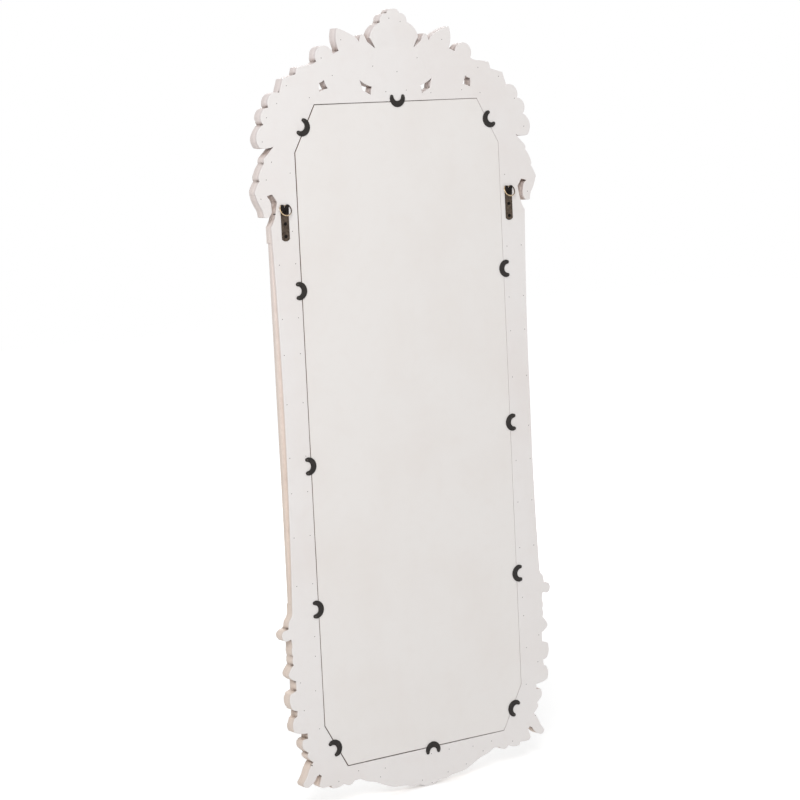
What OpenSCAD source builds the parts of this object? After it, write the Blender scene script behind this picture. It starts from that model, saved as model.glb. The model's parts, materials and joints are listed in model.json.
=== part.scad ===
// Tall carved wall mirror with an octagonal glass, all sizes in millimetres.
// The front faces -Y and the flat back lies on Y = 0, with the metal fittings standing behind it.
// X = 0 is the centre line and Z = 0 is the lowest point of the apron.
// Left and right are as seen from the front, so left is -X.

/* [Opening for the glass] */
// Width of the octagonal opening in the back board
opening_w = 560; // [540:1:580]
// Height of the opening
opening_h = 1503; // [1470:1:1540]
// Width taken by each cut corner
corner_w = 57; // [50:1:64]
// Height taken by each cut corner
corner_h = 104; // [96:1:112]
// Depth of the apron below the opening
apron_drop = 90; // [88:1:100]
// Width of the plain stile beside the opening
stile_w = 68; // [64:1:74]

/* [Thicknesses] */
// Thickness of the back board
board_t = 9; // [8:0.5:12]
// Thickness of the carved layer on the board
carving_t = 23; // [20:1:26]
// Thickness of the stile at its outer edge
stile_t = 13; // [11:1:15]
// Thickness of the mirror glass
glass_t = 5; // [4:0.5:6]
// Highest relief of the applied ornaments
relief_t = 13; // [11:0.5:15]
// Gap round the glass and the backing panel
panel_gap = 1.5; // [1:0.25:2.5]

/* [Sight moulding] */
// How far the moulding covers the glass
sight_lip = 14; // [10:1:18]
// How far the moulding sits on the board
sight_seat = 10; // [8:1:12]
// Height of the moulding above the board
sight_t = 25; // [22:1:28]
// Width of the bevel round the glass
bevel_w = 25; // [20:1:30]
// Depth of the bevel at the edge of the glass
bevel_t = 1.5; // [1:0.25:2]

/* [Clips and nails] */
// Radius of the outside of a crescent clip
clip_r = 20.5; // [19:0.5:22]
// Radius of the cut inside a clip
clip_cut_r = 11; // [10:0.5:12]
// Distance from the clip's centre to the centre of its cut
clip_cut_out = 4.5; // [4:0.5:5.5]
// Distance from the clip's centre to the line through its two nails
clip_nail_out = 3.25; // [2.5:0.25:4]
// Radius of a clip's round tips
clip_tip_r = 4.9; // [4.4:0.1:5.2]
// Distance from the edge of the opening to the clip's centre
clip_out = 7; // [5:0.5:9]
// Thickness of a clip
clip_t = 3; // [2.5:0.25:4]
// Width of the bevel on a clip's upper rim
clip_bevel = 1; // [0.5:0.25:1.25]
// Radius of a clip nail
nail_r = 1.1; // [0.9:0.05:1.3]
// Radius of a clip nail's head
nail_head_r = 2.4; // [2:0.1:2.8]
// Height of a clip nail's head
nail_head_t = 0.8; // [0.5:0.1:1.2]
// Depth of a nail or a screw in the board
nail_depth = 7; // [5:0.5:7.5]
// Radius of a brad
brad_r = 1; // [0.8:0.05:1.2]
// Depth of a brad in the carving
brad_bite = 5; // [3:0.5:8]
// Gap round a nail, a screw or a brad
nail_gap = 0.05; // [0.03:0.01:0.1]

/* [Hangers] */
// Width of a hanger strap
strap_w = 20; // [18:0.5:22]
// Length of a hanger strap
strap_l = 81; // [76:1:86]
// Thickness of the strap metal
strap_t = 1.2; // [1:0.1:1.6]
// Radius of the ring's wire
wire_r = 1.15; // [1:0.05:1.3]
// Gap between the wire and the fold that holds it
wire_gap = 0.07; // [0.05:0.01:0.1]
// Radius of the ring at the middle of its wire
ring_r = 14.2; // [13:0.1:15]
// How far the ring stands off the hanging line, in degrees
ring_tilt = 22; // [16:1:30]
// Radius of a hanger screw's shank
screw_r = 1.7; // [1.5:0.1:1.9]
// Radius of a hanger screw's head
screw_head_r = 3.75; // [3.4:0.05:4]
// Height of a hanger screw's head
screw_head_t = 1.8; // [1.4:0.1:2.2]
// Centre of the left strap from the opening's edge
strap_left_out = 22; // [16:1:40]
// Centre of the right strap from the opening's edge
strap_right_out = 34; // [16:1:40]
// Top of the left strap below the opening's top
strap_left_drop = 206; // [190:1:230]
// Top of the right strap below the opening's top
strap_right_drop = 216; // [190:1:230]

/* [Hidden] */
$fn = 48;

// Levels and reference lines that the pieces share
open_x = opening_w / 2;
open_low = apron_drop;
open_high = open_low + opening_h;
stile_x = open_x + stile_w;
front_y = -board_t - carving_t;
stile_y = -board_t - stile_t;
panel_t = board_t - glass_t;
far = 2000;
eps = 0.01;

// The crest and the apron are drawn for this half width, and stretch with the stile's outer edge
drawn_half_w = 348;
stretch = stile_x / drawn_half_w;

// Colours
paint = [0.92, 0.91, 0.90];
paint_front = [0.90, 0.87, 0.84];
dark_metal = [0.16, 0.15, 0.14];
bronze = [0.25, 0.22, 0.18];
brass = [0.62, 0.52, 0.34];
silver = [0.75, 0.80, 0.82];
steel = [0.60, 0.60, 0.60];

// Outline of the right half, clockwise from the crown. Each row holds a point and the bow of the
// stretch that follows it: how far it swells outwards, or inwards where the bow is negative.
// The crest is measured from the centre line and the opening's top.
crest_rows = [
    [0, 207, 4], [17, 197, 7], [36, 177, 6], [66, 143, -1], [52, 119, 0], [73, 134, 0],
    [82, 151, 1], [90, 147, 0], [95, 134, 2], [113, 150, 1], [152, 166, 5], [150, 116, 0],
    [167, 109, 27], [210, 94, -1], [225, 87, 1], [262, 82, 0], [266, 67, 0],
];
// The shoulder is measured from the stile's outer edge and the opening's top.
shoulder_rows = [
    [-48, 58, 0], [-38, 28, 14], [-8, -3, 13], [7, -40, 13], [19, -90, 3], [-16, -88, 0],
    [-3, -101, 0], [4, -108, 3], [10, -124, 2], [26, -154, 1], [24, -162, 1], [36, -182, 2],
    [36, -193, 1], [25, -219, -2], [18, -241, 2], [4, -241, 0], [-2, -232, 2], [3, -202, 0],
    [10, -197, -1], [-6, -193, 0], [-17, -209, 0], [-12, -234, -2], [1, -264, 0],
];
// The lower corner is measured from the stile's outer edge and the opening's lower edge.
corner_rows = [
    [0, 385, 0], [1, 371, -1], [9, 359, 1], [12, 341, 0], [19, 339, 5], [29, 324, 4],
    [16, 315, 0], [7, 317, 0], [5, 300, 2], [4, 277, 2], [4, 257, 1], [16, 242, 3],
    [14, 229, 1], [0, 220, 0], [0, 198, 0], [16, 192, 4], [13, 157, 1], [0, 152, 0],
    [2, 139, 0], [9, 136, 4], [11, 104, 1], [-6, 98, 0], [-23, 96, 0], [-23, 84, 0],
    [-11, 83, 2], [-9, 64, 1], [-23, 51, 1], [-20, 41, 1], [-34, 27, 0], [-23, 12, 0],
    [-17, -1, 0], [-5, -18, 5], [-19, -28, 3], [-41, -7, 1], [-48, -3, 1], [-54, -8, 0],
    [-47, -29, 2], [-55, -37, 0],
];
// The apron is measured from the centre line and the opening's lower edge, but for its last point.
apron_rows = [
    [270, -36, 0], [267, -43, 2], [243, -42, 0], [234, -38, 1], [222, -45, 2], [207, -37, 0],
    [190, -36, 2], [155, -50, 0], [120, -66, 2], [85, -75, 0], [65, -77, 0], [50, -82, 0],
    [28, -82, 0], [17, -86.5, 1.5],
];
apron_tip = [0, 0, 0];

// Pierced holes in the crest, from the centre line and the opening's top
hole_rows = [
    [[99, 50, -1], [93, 28, 0], [70, 16, -1], [66, 34, -2]],
    [[193, 53, -1], [207, 46, 1], [206, 27, -1], [184, 34, -1]],
];

// Joints of the carved layer: crest to shoulder, shoulder to stile, stile to corner, corner to apron
crest_joint = [-38, 28];
shoulder_joint = -300;
corner_joint = 395;
apron_joint = [-48, -3];
apron_joint_lean = 0.15;

// Brads that pin the board to the carving, measured as the outline is
crest_brads = [
    [12, 186], [-18, 178], [-3, 66], [-131, 136], [144, 140], [198, 101], [-230, 70], [-94, 16],
    [-181, 20], [171, 62], [234, 15], [-233, 12], [30, 22], [-26, 24], [-60, 96], [62, 80],
    [-288, 48], [292, 43],
];
shoulder_brads_left = [[-16, -4], [8, -70], [-54, -180], [11, -223], [-54, -280]];
shoulder_brads_right = [
    [-29, 5], [-1, -25], [13, -77], [-8, -122], [8, -160], [24, -201], [-10, -236],
    [-54, -148], [-52, -276],
];
stile_brad_heights = [40, 150, 250, 330, 450, 560, 640, 760];
stile_brads_out = [12, 54];
corner_brads = [[-54, 314], [-53, 269], [-49, 190], [-54, 101], [-16, 150], [-10, 215], [-30, 20]];
apron_brads = [
    [122, -24], [136, -42], [195, -16], [20, -73], [-7, -84], [-9, -15], [-60, -14], [-129, -20],
    [-184, -18], [-158, -37], [-54, -68], [-107, -59], [250, -30], [-246, -30],
];

// Clips on the two long sides, above the opening's lower edge, and their places on the ends
clip_heights_left = [374, 738, 1103];
clip_heights_right = [375, 701, 1094];
clip_top_x = 0;
clip_bottom_x = -14;

// A stretch from p to q that bows outwards by s, without its last point
function bowed(p, q, s) =
    s == 0 ? [p] :
    let (
        chord = norm(q - p),
        along = (q - p) / chord,
        out = [-along[1], along[0]],
        sweep = 4 * atan(2 * abs(s) / chord),
        radius = chord / (2 * sin(sweep / 2)),
        steps = max(3, ceil(sweep / 16)),
        side = s > 0 ? 1 : -1
    )
    [for (k = [0 : steps - 1])
        let (turn = -sweep / 2 + k * sweep / steps)
        p + along * (chord / 2 + radius * sin(turn))
          + out * side * (abs(s) - radius + radius * cos(turn))];

// An outline through rows of points and bows, open at its end or closed
function trace(rows, closed) =
    [for (k = [0 : len(rows) - (closed ? 1 : 2)])
        let (a = rows[k], b = rows[(k + 1) % len(rows)])
        each bowed([a[0], a[1]], [b[0], b[1]], a[2])];

function stretched(rows) = [for (r = rows) concat([r[0] * stretch], [for (k = [1 : len(r) - 1]) r[k]])];
function placed(rows, x, z) = [for (r = rows) [r[0] + x, r[1] + z, r[2]]];
function mirrored(rows) = [for (r = rows) [-r[0], r[1]]];
function reversed(list) = [for (k = [len(list) - 1 : -1 : 0]) list[k]];

half_outline = trace(concat(
    placed(stretched(crest_rows), 0, open_high),
    placed(shoulder_rows, stile_x, open_high),
    placed(corner_rows, stile_x, open_low),
    placed(stretched(apron_rows), 0, open_low),
    [apron_tip]
), false);
whole_outline = concat(
    half_outline,
    [[apron_tip[0], apron_tip[1]]],
    reversed([for (p = half_outline) if (p[0] > 0) [-p[0], p[1]]])
);

// Corners of the octagon, moved inwards by inset, clockwise from the left end of the top side
function octagon(inset) =
    let (
        slope = norm([corner_w, corner_h]),
        x = open_x - inset,
        z = opening_h / 2 - inset,
        line = corner_h * open_x + corner_w * (opening_h / 2 - corner_h) - inset * slope,
        cut_x = (line - corner_w * z) / corner_h,
        cut_z = (line - corner_h * x) / corner_w,
        mid = open_low + opening_h / 2
    )
    [[-cut_x, mid + z], [cut_x, mid + z], [x, mid + cut_z], [x, mid - cut_z],
     [cut_x, mid - z], [-cut_x, mid - z], [-x, mid - cut_z], [-x, mid + cut_z]];

// A flat piece drawn in X and Z, from y_back forwards by thickness
module flat(y_back, thickness) {
    translate([0, y_back, 0]) rotate([90, 0, 0]) linear_extrude(thickness) children();
}

// A round piece along Y that starts at y_back and runs forwards
module peg(x, z, r, y_back, length) {
    translate([x, y_back, z]) rotate([90, 0, 0]) cylinder(h = length, r = r);
}

module left_side() {
    mirror([1, 0, 0]) children();
}

// Places of the brads in each carved piece
function shift(rows, x, z) = [for (r = rows) [r[0] + x, r[1] + z]];
crest_pins = shift(stretched(crest_brads), 0, open_high);
shoulder_pins_left = mirrored(shift(shoulder_brads_left, stile_x, open_high));
shoulder_pins_right = shift(shoulder_brads_right, stile_x, open_high);
stile_pins = [for (h = stile_brad_heights) for (out = stile_brads_out)
    [open_x + out, open_low + corner_joint + h]];
corner_pins = shift(corner_brads, stile_x, open_low);
apron_pins = shift(stretched(apron_brads), 0, open_low);
all_pins = concat(
    crest_pins, shoulder_pins_left, shoulder_pins_right, stile_pins, mirrored(stile_pins),
    corner_pins, mirrored(corner_pins), apron_pins
);

module brad_holes(pins) {
    for (p = pins) peg(p[0], p[1], brad_r + nail_gap, eps, board_t + brad_bite + 2 * eps);
}

// Clip places: centre, and the turn that points the tips away from the glass
corner_turn = atan2(corner_w, corner_h);
corner_mid = [open_x - corner_w / 2, corner_h / 2];
function off_corner(side, end) =
    let (out = clip_out * [cos(corner_turn), sin(corner_turn)])
    [side * (corner_mid[0] + out[0]),
     end > 0 ? open_high - corner_mid[1] + out[1] : open_low + corner_mid[1] - out[1]];
clip_places = concat(
    [[[clip_top_x, open_high + clip_out], 90]],
    [[[clip_bottom_x, open_low - clip_out], -90]],
    [for (h = clip_heights_left) [[-open_x - clip_out, open_low + h], 180]],
    [for (h = clip_heights_right) [[open_x + clip_out, open_low + h], 0]],
    [[off_corner(1, 1), corner_turn], [off_corner(-1, 1), 180 - corner_turn]],
    [[off_corner(1, -1), -corner_turn], [off_corner(-1, -1), 180 + corner_turn]]
);
clip_nail_side = (clip_r + clip_cut_r) / 2 - 0.5;
function turned(p, a) = [p[0] * cos(a) - p[1] * sin(a), p[0] * sin(a) + p[1] * cos(a)];
nail_places = [for (c = clip_places) for (side = [-1, 1])
    c[0] + turned([clip_nail_out, side * clip_nail_side], c[1])];

// Hanger places: centre line, top and screw heights below the top
hanger_places = [
    [-open_x - strap_left_out, open_high - strap_left_drop],
    [open_x + strap_right_out, open_high - strap_right_drop],
];
screw_drops = [15, 42.5, 70.5];
bore_r = wire_r + wire_gap;
fold_r = bore_r + strap_t;
strap_end_bow = 5;
fold_tail = 21;
notch_w = 6;
notch_l = 8;
lobe_rise = 0.6;
screw_places = [for (h = hanger_places) for (d = screw_drops) [h[0], h[1] - d]];

module nail_holes(depth, length) {
    for (p = nail_places) peg(p[0], p[1], nail_r + nail_gap, depth, length);
}

module back_board() {
    color(paint) difference() {
        flat(0, board_t) difference() {
            polygon(whole_outline);
            polygon(octagon(0));
            crest_holes();
        }
        brad_holes(all_pins);
        nail_holes(eps, nail_depth + eps);
        for (p = screw_places) peg(p[0], p[1], screw_r + nail_gap, eps, nail_depth + eps);
    }
}

module crest_holes() {
    for (rows = hole_rows) {
        outline = trace(placed(stretched(rows), 0, open_high), true);
        polygon(outline);
        polygon(mirrored(outline));
    }
}

module backing_panel() {
    color(paint) flat(0, panel_t) polygon(octagon(panel_gap));
}

// The glass is three octagons deep: its back, the edge where the bevel starts, and the flat front
module mirror_glass() {
    edge = octagon(panel_gap);
    face = octagon(panel_gap + bevel_w);
    levels = [[edge, -panel_t], [edge, bevel_t - board_t], [face, -board_t]];
    sides = [0 : 7];
    color(silver) polyhedron(
        points = [for (level = levels) for (p = level[0]) [p[0], level[1], p[1]]],
        faces = concat(
            [[for (k = sides) 7 - k]],
            [for (ring = [0, 8]) for (k = sides)
                [ring + k, ring + (k + 1) % 8, ring + 8 + (k + 1) % 8, ring + 8 + k]],
            [[for (k = sides) 16 + k]]
        )
    );
}

// Space of the opening and the sight moulding, kept free by the carved layer
module sight_space() {
    polygon(octagon(-sight_seat));
}

// Regions that part the carved layer, drawn on the right
module crest_region() {
    x = stile_x + crest_joint[0];
    z = open_high + crest_joint[1];
    inner = off_seat(1);
    polygon([[-x, z], [-inner[0], inner[1]], [inner[0], inner[1]], [x, z], [x + far, z + 2 * far],
             [-x - far, z + 2 * far]]);
}

// Middle of the moulding's outer edge at an upper (1) or a lower (-1) corner
function off_seat(end) =
    let (out = sight_seat * [cos(corner_turn), sin(corner_turn)])
    [corner_mid[0] + out[0],
     end > 0 ? open_high - corner_mid[1] + out[1] : open_low + corner_mid[1] - out[1]];

module shoulder_region() {
    x = stile_x + crest_joint[0];
    z = open_high + crest_joint[1];
    inner = off_seat(1);
    polygon([inner, [x, z], [x + far, z + 2 * far], [x + far, open_high + shoulder_joint],
             [inner[0], open_high + shoulder_joint]]);
}

module corner_region() {
    x = stile_x + apron_joint[0];
    z = open_low + apron_joint[1];
    inner = off_seat(-1);
    polygon([inner, [inner[0], open_low + corner_joint], [far, open_low + corner_joint], [far, -far],
             [x + apron_joint_lean * far, z - far], [x, z]]);
}

module apron_region() {
    x = stile_x + apron_joint[0];
    z = open_low + apron_joint[1];
    inner = off_seat(-1);
    low_x = x + apron_joint_lean * far;
    polygon([[-inner[0], inner[1]], [inner[0], inner[1]], [x, z], [low_x, z - far], [-low_x, z - far],
             [-x, z]]);
}

module carved_plate() {
    color(paint_front) flat(-board_t, carving_t) difference() {
        intersection() {
            polygon(whole_outline);
            children();
        }
        sight_space();
    }
}

module crest_carving() {
    difference() {
        carved_plate() difference() {
            crest_region();
            crest_holes();
        }
        brad_holes(crest_pins);
    }
}

module shoulder_carving(pins) {
    difference() {
        carved_plate() shoulder_region();
        brad_holes(pins);
    }
}

module corner_carving() {
    difference() {
        carved_plate() corner_region();
        brad_holes(corner_pins);
    }
}

module apron_carving() {
    difference() {
        carved_plate() apron_region();
        brad_holes(apron_pins);
    }
}

// Plain stile with a shallow cove between the sight moulding and its outer edge
stile_cove = 4;
stile_flat = 18;
module stile() {
    low = open_low + corner_joint;
    high = open_high + shoulder_joint;
    inner = open_x + sight_seat;
    color(paint_front) difference() {
        translate([0, 0, low]) linear_extrude(high - low) polygon([
            [inner, -board_t],
            [inner, stile_y - stile_cove],
            [inner + stile_cove, stile_y - stile_cove],
            [inner + 3 * stile_cove, stile_y + stile_cove / 2],
            [stile_x - stile_flat - stile_cove, stile_y + stile_cove / 2],
            [stile_x - stile_flat, stile_y],
            [stile_x, stile_y],
            [stile_x, -board_t],
        ]);
        brad_holes(stile_pins);
    }
}

// Half-round bead along the stile
bead_r = 5;
bead_in = 9;
module stile_bead() {
    low = open_low + corner_joint;
    high = open_high + shoulder_joint;
    color(paint_front) intersection() {
        translate([stile_x - bead_in, stile_y, low]) cylinder(h = high - low, r = bead_r);
        translate([0, stile_y - far, 0]) cube(far);
    }
}

// Sight moulding: profile measured outwards from the sight edge and forwards from the board
sight_w = sight_lip + sight_seat;
sight_profile = [
    [0, 0], [0, 0.16], [0.1, 0.2], [0.14, 0.42], [0.3, 0.72], [0.42, 0.8], [0.5, 0.94],
    [0.66, 1], [0.84, 0.96], [0.96, 0.8], [1, 0.62], [1, 0],
];
module sight_piece(k) {
    inner = octagon(sight_lip);
    outer = octagon(-sight_seat);
    a = inner[k];
    b = inner[(k + 1) % 8];
    run = b - a;
    color(paint_front) intersection() {
        translate([a[0], -board_t, a[1]]) rotate([0, -atan2(run[1], run[0]), 0])
            translate([-far / 2, 0, 0]) rotate([90, 0, 90]) linear_extrude(2 * far)
            polygon([for (p = sight_profile) [-p[1] * sight_t, p[0] * sight_w]]);
        flat(0, far) polygon([a, b, outer[(k + 1) % 8], outer[k]]);
    }
}

// Round ornaments are ribs, arcs and domes that lie on the carved layer, cut off at its face
module on_face() {
    color(paint_front) intersection() {
        union() children();
        translate([-far / 2, front_y - far, -far / 2]) cube([far, far, 2 * far]);
    }
}

module rib(from, to, r1, r2) {
    run = to - from;
    translate([from[0], front_y, from[1]]) rotate([0, atan2(run[0], run[1]), 0]) {
        cylinder(h = norm(run), r1 = r1, r2 = r2);
        translate([0, 0, norm(run)]) sphere(r = r2);
    }
}

module dome(at, r) {
    translate([at[0], front_y, at[1]]) sphere(r = r);
}

module arc_rib(at, radius, start, sweep, r) {
    translate([at[0], front_y, at[1]]) rotate([90, 0, 0]) rotate([0, 0, start])
        rotate_extrude(angle = sweep, $fn = 64) translate([radius, 0]) circle(r = r, $fn = 24);
}

// Leaves are flat blades with a narrower raised vein on each
module blade(from, to, half_w) {
    polygon(trace([[from[0], from[1], half_w], [to[0], to[1], half_w]], true));
}

module leaf(base, tips, base_r) {
    color(paint_front) {
        flat(front_y, leaf_t) {
            for (tip = tips) blade(base, base + [tip[0], tip[1]], tip[2]);
            translate(base) circle(r = base_r);
        }
        flat(front_y - leaf_t, vein_t) {
            for (tip = tips) blade(base, base + vein_reach * [tip[0], tip[1]], tip[2] * vein_share);
            translate(base) circle(r = base_r * vein_reach);
        }
    }
}
leaf_t = 0.6 * relief_t;
vein_t = 0.3 * relief_t;
vein_reach = 0.8;
vein_share = 0.4;

// Crown: a fluted shell over a boss. Each flute has its angle from upright and its reach.
shell_at = [0, open_high + 110];
shell_flutes = [[-78, 46], [-52, 58], [-26, 64], [0, 82], [26, 64], [52, 58], [78, 46]];
boss_gap = 0.5;
flute_r = [4, 8];
module crown_shell() {
    on_face() for (f = shell_flutes) {
        ray = [sin(f[0]), cos(f[0])];
        rib(shell_at + (relief_t + flute_r[0] / 2) * ray, shell_at + f[1] * ray, flute_r[0], flute_r[1]);
    }
}

module crown_boss() {
    on_face() dome(shell_at, relief_t - boss_gap);
}

// Leaf beside the crown. Each row of a leaf is a tip seen from its base, and half its blade's width.
crest_leaf_base = [116 * stretch, 74];
crest_leaf_tips = [[-16, 50, 6], [10, 66, 8], [32, 82, 9], [74, 38, 8], [-30, 20, 5]];
module crest_leaf() {
    leaf(crest_leaf_base + [0, open_high], crest_leaf_tips, 10);
}

// Volute between the pierced holes
crest_scroll_at = [141 * stretch, open_high + 34];
scroll_r = 6;
scroll_eye_r = 9;
module crest_scroll() {
    on_face() {
        arc_rib(crest_scroll_at, 24, -30, 150, scroll_r);
        dome(crest_scroll_at, scroll_eye_r);
    }
}

// Volute at the outer end of the crest
shoulder_scroll_at = [246 * stretch, open_high + 42];
module shoulder_scroll() {
    on_face() {
        arc_rib(shoulder_scroll_at, 22, -60, 220, scroll_r);
        dome(shoulder_scroll_at, scroll_eye_r);
    }
}

// Leaf on the shoulder, placed from the stile's outer edge and the opening's top
shoulder_leaf_base = [-32, -88];
shoulder_leaf_tips = [
    [10, 100, 11], [36, 66, 10], [46, 24, 9], [28, -34, 8], [52, -92, 11], [48, -120, 11],
    [12, -108, 9],
];
module shoulder_leaf() {
    leaf([stile_x, open_high] + shoulder_leaf_base, shoulder_leaf_tips, 13);
}

// Leaf on the lower corner, placed from the stile's outer edge and the opening's lower edge
corner_leaf_base = [-32, 128];
corner_leaf_tips = [
    [-6, 238, 11], [28, 200, 10], [26, 110, 9], [40, 52, 8], [36, -4, 8], [-26, -56, 7],
    [-16, -128, 8],
];
module corner_leaf() {
    leaf([stile_x, open_low] + corner_leaf_base, corner_leaf_tips, 13);
}

// Apron: a small shell that hangs from the sight moulding, and a long scroll on each side
apron_shell_at = [0, open_low - 24];
apron_flutes = [[-66, 44], [-33, 44], [0, 50], [33, 44], [66, 44]];
apron_flute_r = [4, 6];
module apron_shell() {
    on_face() {
        for (f = apron_flutes) {
            ray = -[sin(f[0]), cos(f[0])];
            rib(apron_shell_at + scroll_eye_r * ray, apron_shell_at + f[1] * ray,
                apron_flute_r[0], apron_flute_r[1]);
        }
        dome(apron_shell_at, scroll_eye_r + 1);
    }
}

apron_scroll_base = [250 * stretch, -24];
apron_scroll_tips = [[-62, 6, 6], [-122, -4, 8], [-184, -18, 8]];
module apron_scroll() {
    leaf(apron_scroll_base + [0, open_low], apron_scroll_tips, 9);
}

// Disc of the clips' thickness with a bevelled upper rim
module clip_disc(r) {
    cylinder(h = clip_t - clip_bevel, r = r);
    translate([0, 0, clip_t - clip_bevel]) cylinder(h = clip_bevel, r1 = r, r2 = r - clip_bevel);
}

// Crescent clips, flat on the board and the panel, with a nail hole in each round tip
module clip() {
    difference() {
        union() {
            difference() {
                clip_disc(clip_r);
                translate([clip_cut_out, 0, -eps]) cylinder(h = clip_t + 2 * eps, r = clip_cut_r);
                translate([clip_nail_out, -clip_r - 1, -eps])
                    cube([clip_r, 2 * clip_r + 2, clip_t + 2 * eps]);
            }
            for (side = [-1, 1]) translate([clip_nail_out, side * clip_nail_side, 0])
                clip_disc(clip_tip_r);
        }
        for (side = [-1, 1]) translate([clip_nail_out, side * clip_nail_side, -eps])
            cylinder(h = clip_t + 2 * eps, r = nail_r + nail_gap);
    }
}

module retaining_clips() {
    color(dark_metal) for (c = clip_places)
        translate([c[0][0], 0, c[0][1]]) rotate([0, -c[1], 0]) rotate([-90, 0, 0])
            mirror([0, 1, 0]) clip();
}

module clip_nails() {
    color(dark_metal) for (p = nail_places) {
        peg(p[0], p[1], nail_r, clip_t, clip_t + nail_depth - nail_gap);
        peg(p[0], p[1], nail_head_r, clip_t + nail_head_t, nail_head_t);
    }
}

module brads() {
    color(steel) for (p = all_pins)
        peg(p[0], p[1], brad_r, 0, board_t + brad_bite - nail_gap);
}

// Hanger strap: one strip folded over the ring's bar, with a notch in the fold
module hanger_strap(place) {
    top = place[1];
    color(bronze) difference() {
        intersection() {
            translate([place[0] - strap_w / 2, 0, 0]) rotate([90, 0, 90]) linear_extrude(strap_w)
                strap_section(top);
            flat(fold_r * 3, fold_r * 4) strap_outline(place);
        }
        translate([place[0] - strap_w, fold_r, top - fold_r]) rotate([0, 90, 0])
            cylinder(h = 2 * strap_w, r = bore_r);
        for (d = screw_drops)
            peg(place[0], top - d, screw_r + nail_gap, fold_r * 2, fold_r * 3);
    }
}

// Section of the strap in Y and Z: the strip, the fold and the tail pressed down on the strip
module strap_section(top) {
    z = top - fold_r;
    translate([fold_r, z]) circle(r = fold_r);
    polygon([
        [0, top - strap_l], [strap_t, top - strap_l], [strap_t, top - fold_tail],
        [2 * strap_t, top - fold_tail], [2 * strap_t, z - 7], [2 * strap_t + 0.6, z - 5.5],
        [2 * fold_r - 0.35, z - 0.9], [2 * fold_r - 0.6, z + 0.2], [0.3, z + 0.2], [0, z - 0.4],
    ]);
}

module strap_outline(place) {
    half = strap_w / 2;
    low = place[1] - strap_l;
    end_r = (half * half + strap_end_bow * strap_end_bow) / (2 * strap_end_bow);
    lobe_r = (strap_w - notch_w) / 4;
    difference() {
        union() {
            translate([place[0], low + end_r]) intersection() {
                circle(r = end_r);
                translate([-half, -end_r]) square([strap_w, strap_end_bow + eps]);
            }
            translate([place[0] - half, low + strap_end_bow])
                square([strap_w, strap_l - strap_end_bow - lobe_r + lobe_rise]);
            for (side = [-1, 1])
                translate([place[0] + side * (half - lobe_r), place[1] - lobe_r + lobe_rise])
                    circle(r = lobe_r);
        }
        polygon([
            [place[0] - notch_w / 2, place[1] + 1], [place[0] + notch_w / 2, place[1] + 1],
            [place[0] + notch_w / 2, place[1] - notch_l / 2], [place[0], place[1] - notch_l],
            [place[0] - notch_w / 2, place[1] - notch_l / 2],
        ]);
    }
}

// Hanger ring: a straight bar in the fold, closed below by a round bow
bar_half = strap_w / 2 + 0.6;
module hanger_ring(place) {
    drop = sqrt(ring_r * ring_r - bar_half * bar_half);
    start = atan2(drop, bar_half);
    color(brass) translate([place[0], fold_r, place[1] - fold_r]) rotate([ring_tilt, 0, 0]) {
        translate([-bar_half, 0, 0]) rotate([0, 90, 0]) cylinder(h = 2 * bar_half, r = wire_r);
        for (side = [-1, 1]) translate([side * bar_half, 0, 0]) sphere(r = wire_r);
        translate([0, 0, -drop]) rotate([90, 0, 0]) rotate([0, 0, 180 - start])
            rotate_extrude(angle = 180 + 2 * start, $fn = 64) translate([ring_r, 0]) circle(r = wire_r, $fn = 24);
    }
}

// Pan-head screws through the straps, the upper one also through the fold's tail
module hanger_screws() {
    color(dark_metal) for (h = hanger_places) for (k = [0 : 2]) {
        seat = screw_drops[k] < fold_tail ? 2 * strap_t : strap_t;
        z = h[1] - screw_drops[k];
        peg(h[0], z, screw_r, seat, seat + nail_depth - nail_gap);
        peg(h[0], z, screw_head_r, seat + screw_head_t / 2, screw_head_t / 2);
        translate([h[0], seat + screw_head_t / 2, z]) rotate([-90, 0, 0])
            cylinder(h = screw_head_t / 2, r1 = screw_head_r, r2 = screw_head_r - screw_head_t / 2);
    }
}

back_board();
backing_panel();
mirror_glass();
crest_carving();
left_side() shoulder_carving(mirrored(shoulder_pins_left));  // shoulder_carving_left
shoulder_carving(shoulder_pins_right);  // shoulder_carving_right
left_side() stile();  // stile_left
stile();  // stile_right
left_side() corner_carving();  // corner_carving_left
corner_carving();  // corner_carving_right
apron_carving();
sight_piece(0);  // sight_top
sight_piece(1);  // sight_corner_top_right
sight_piece(2);  // sight_right
sight_piece(3);  // sight_corner_bottom_right
sight_piece(4);  // sight_bottom
sight_piece(5);  // sight_corner_bottom_left
sight_piece(6);  // sight_left
sight_piece(7);  // sight_corner_top_left
crown_shell();
crown_boss();
left_side() crest_leaf();  // crest_leaf_left
crest_leaf();  // crest_leaf_right
left_side() crest_scroll();  // crest_scroll_left
crest_scroll();  // crest_scroll_right
left_side() shoulder_scroll();  // shoulder_scroll_left
shoulder_scroll();  // shoulder_scroll_right
left_side() shoulder_leaf();  // shoulder_leaf_left
shoulder_leaf();  // shoulder_leaf_right
left_side() stile_bead();  // stile_bead_left
stile_bead();  // stile_bead_right
left_side() corner_leaf();  // corner_leaf_left
corner_leaf();  // corner_leaf_right
apron_shell();
left_side() apron_scroll();  // apron_scroll_left
apron_scroll();  // apron_scroll_right
retaining_clips();
clip_nails();
brads();
hanger_strap(hanger_places[0]);  // hanger_strap_left
hanger_strap(hanger_places[1]);  // hanger_strap_right
hanger_ring(hanger_places[0]);  // hanger_ring_left
hanger_ring(hanger_places[1]);  // hanger_ring_right
hanger_screws();
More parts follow.
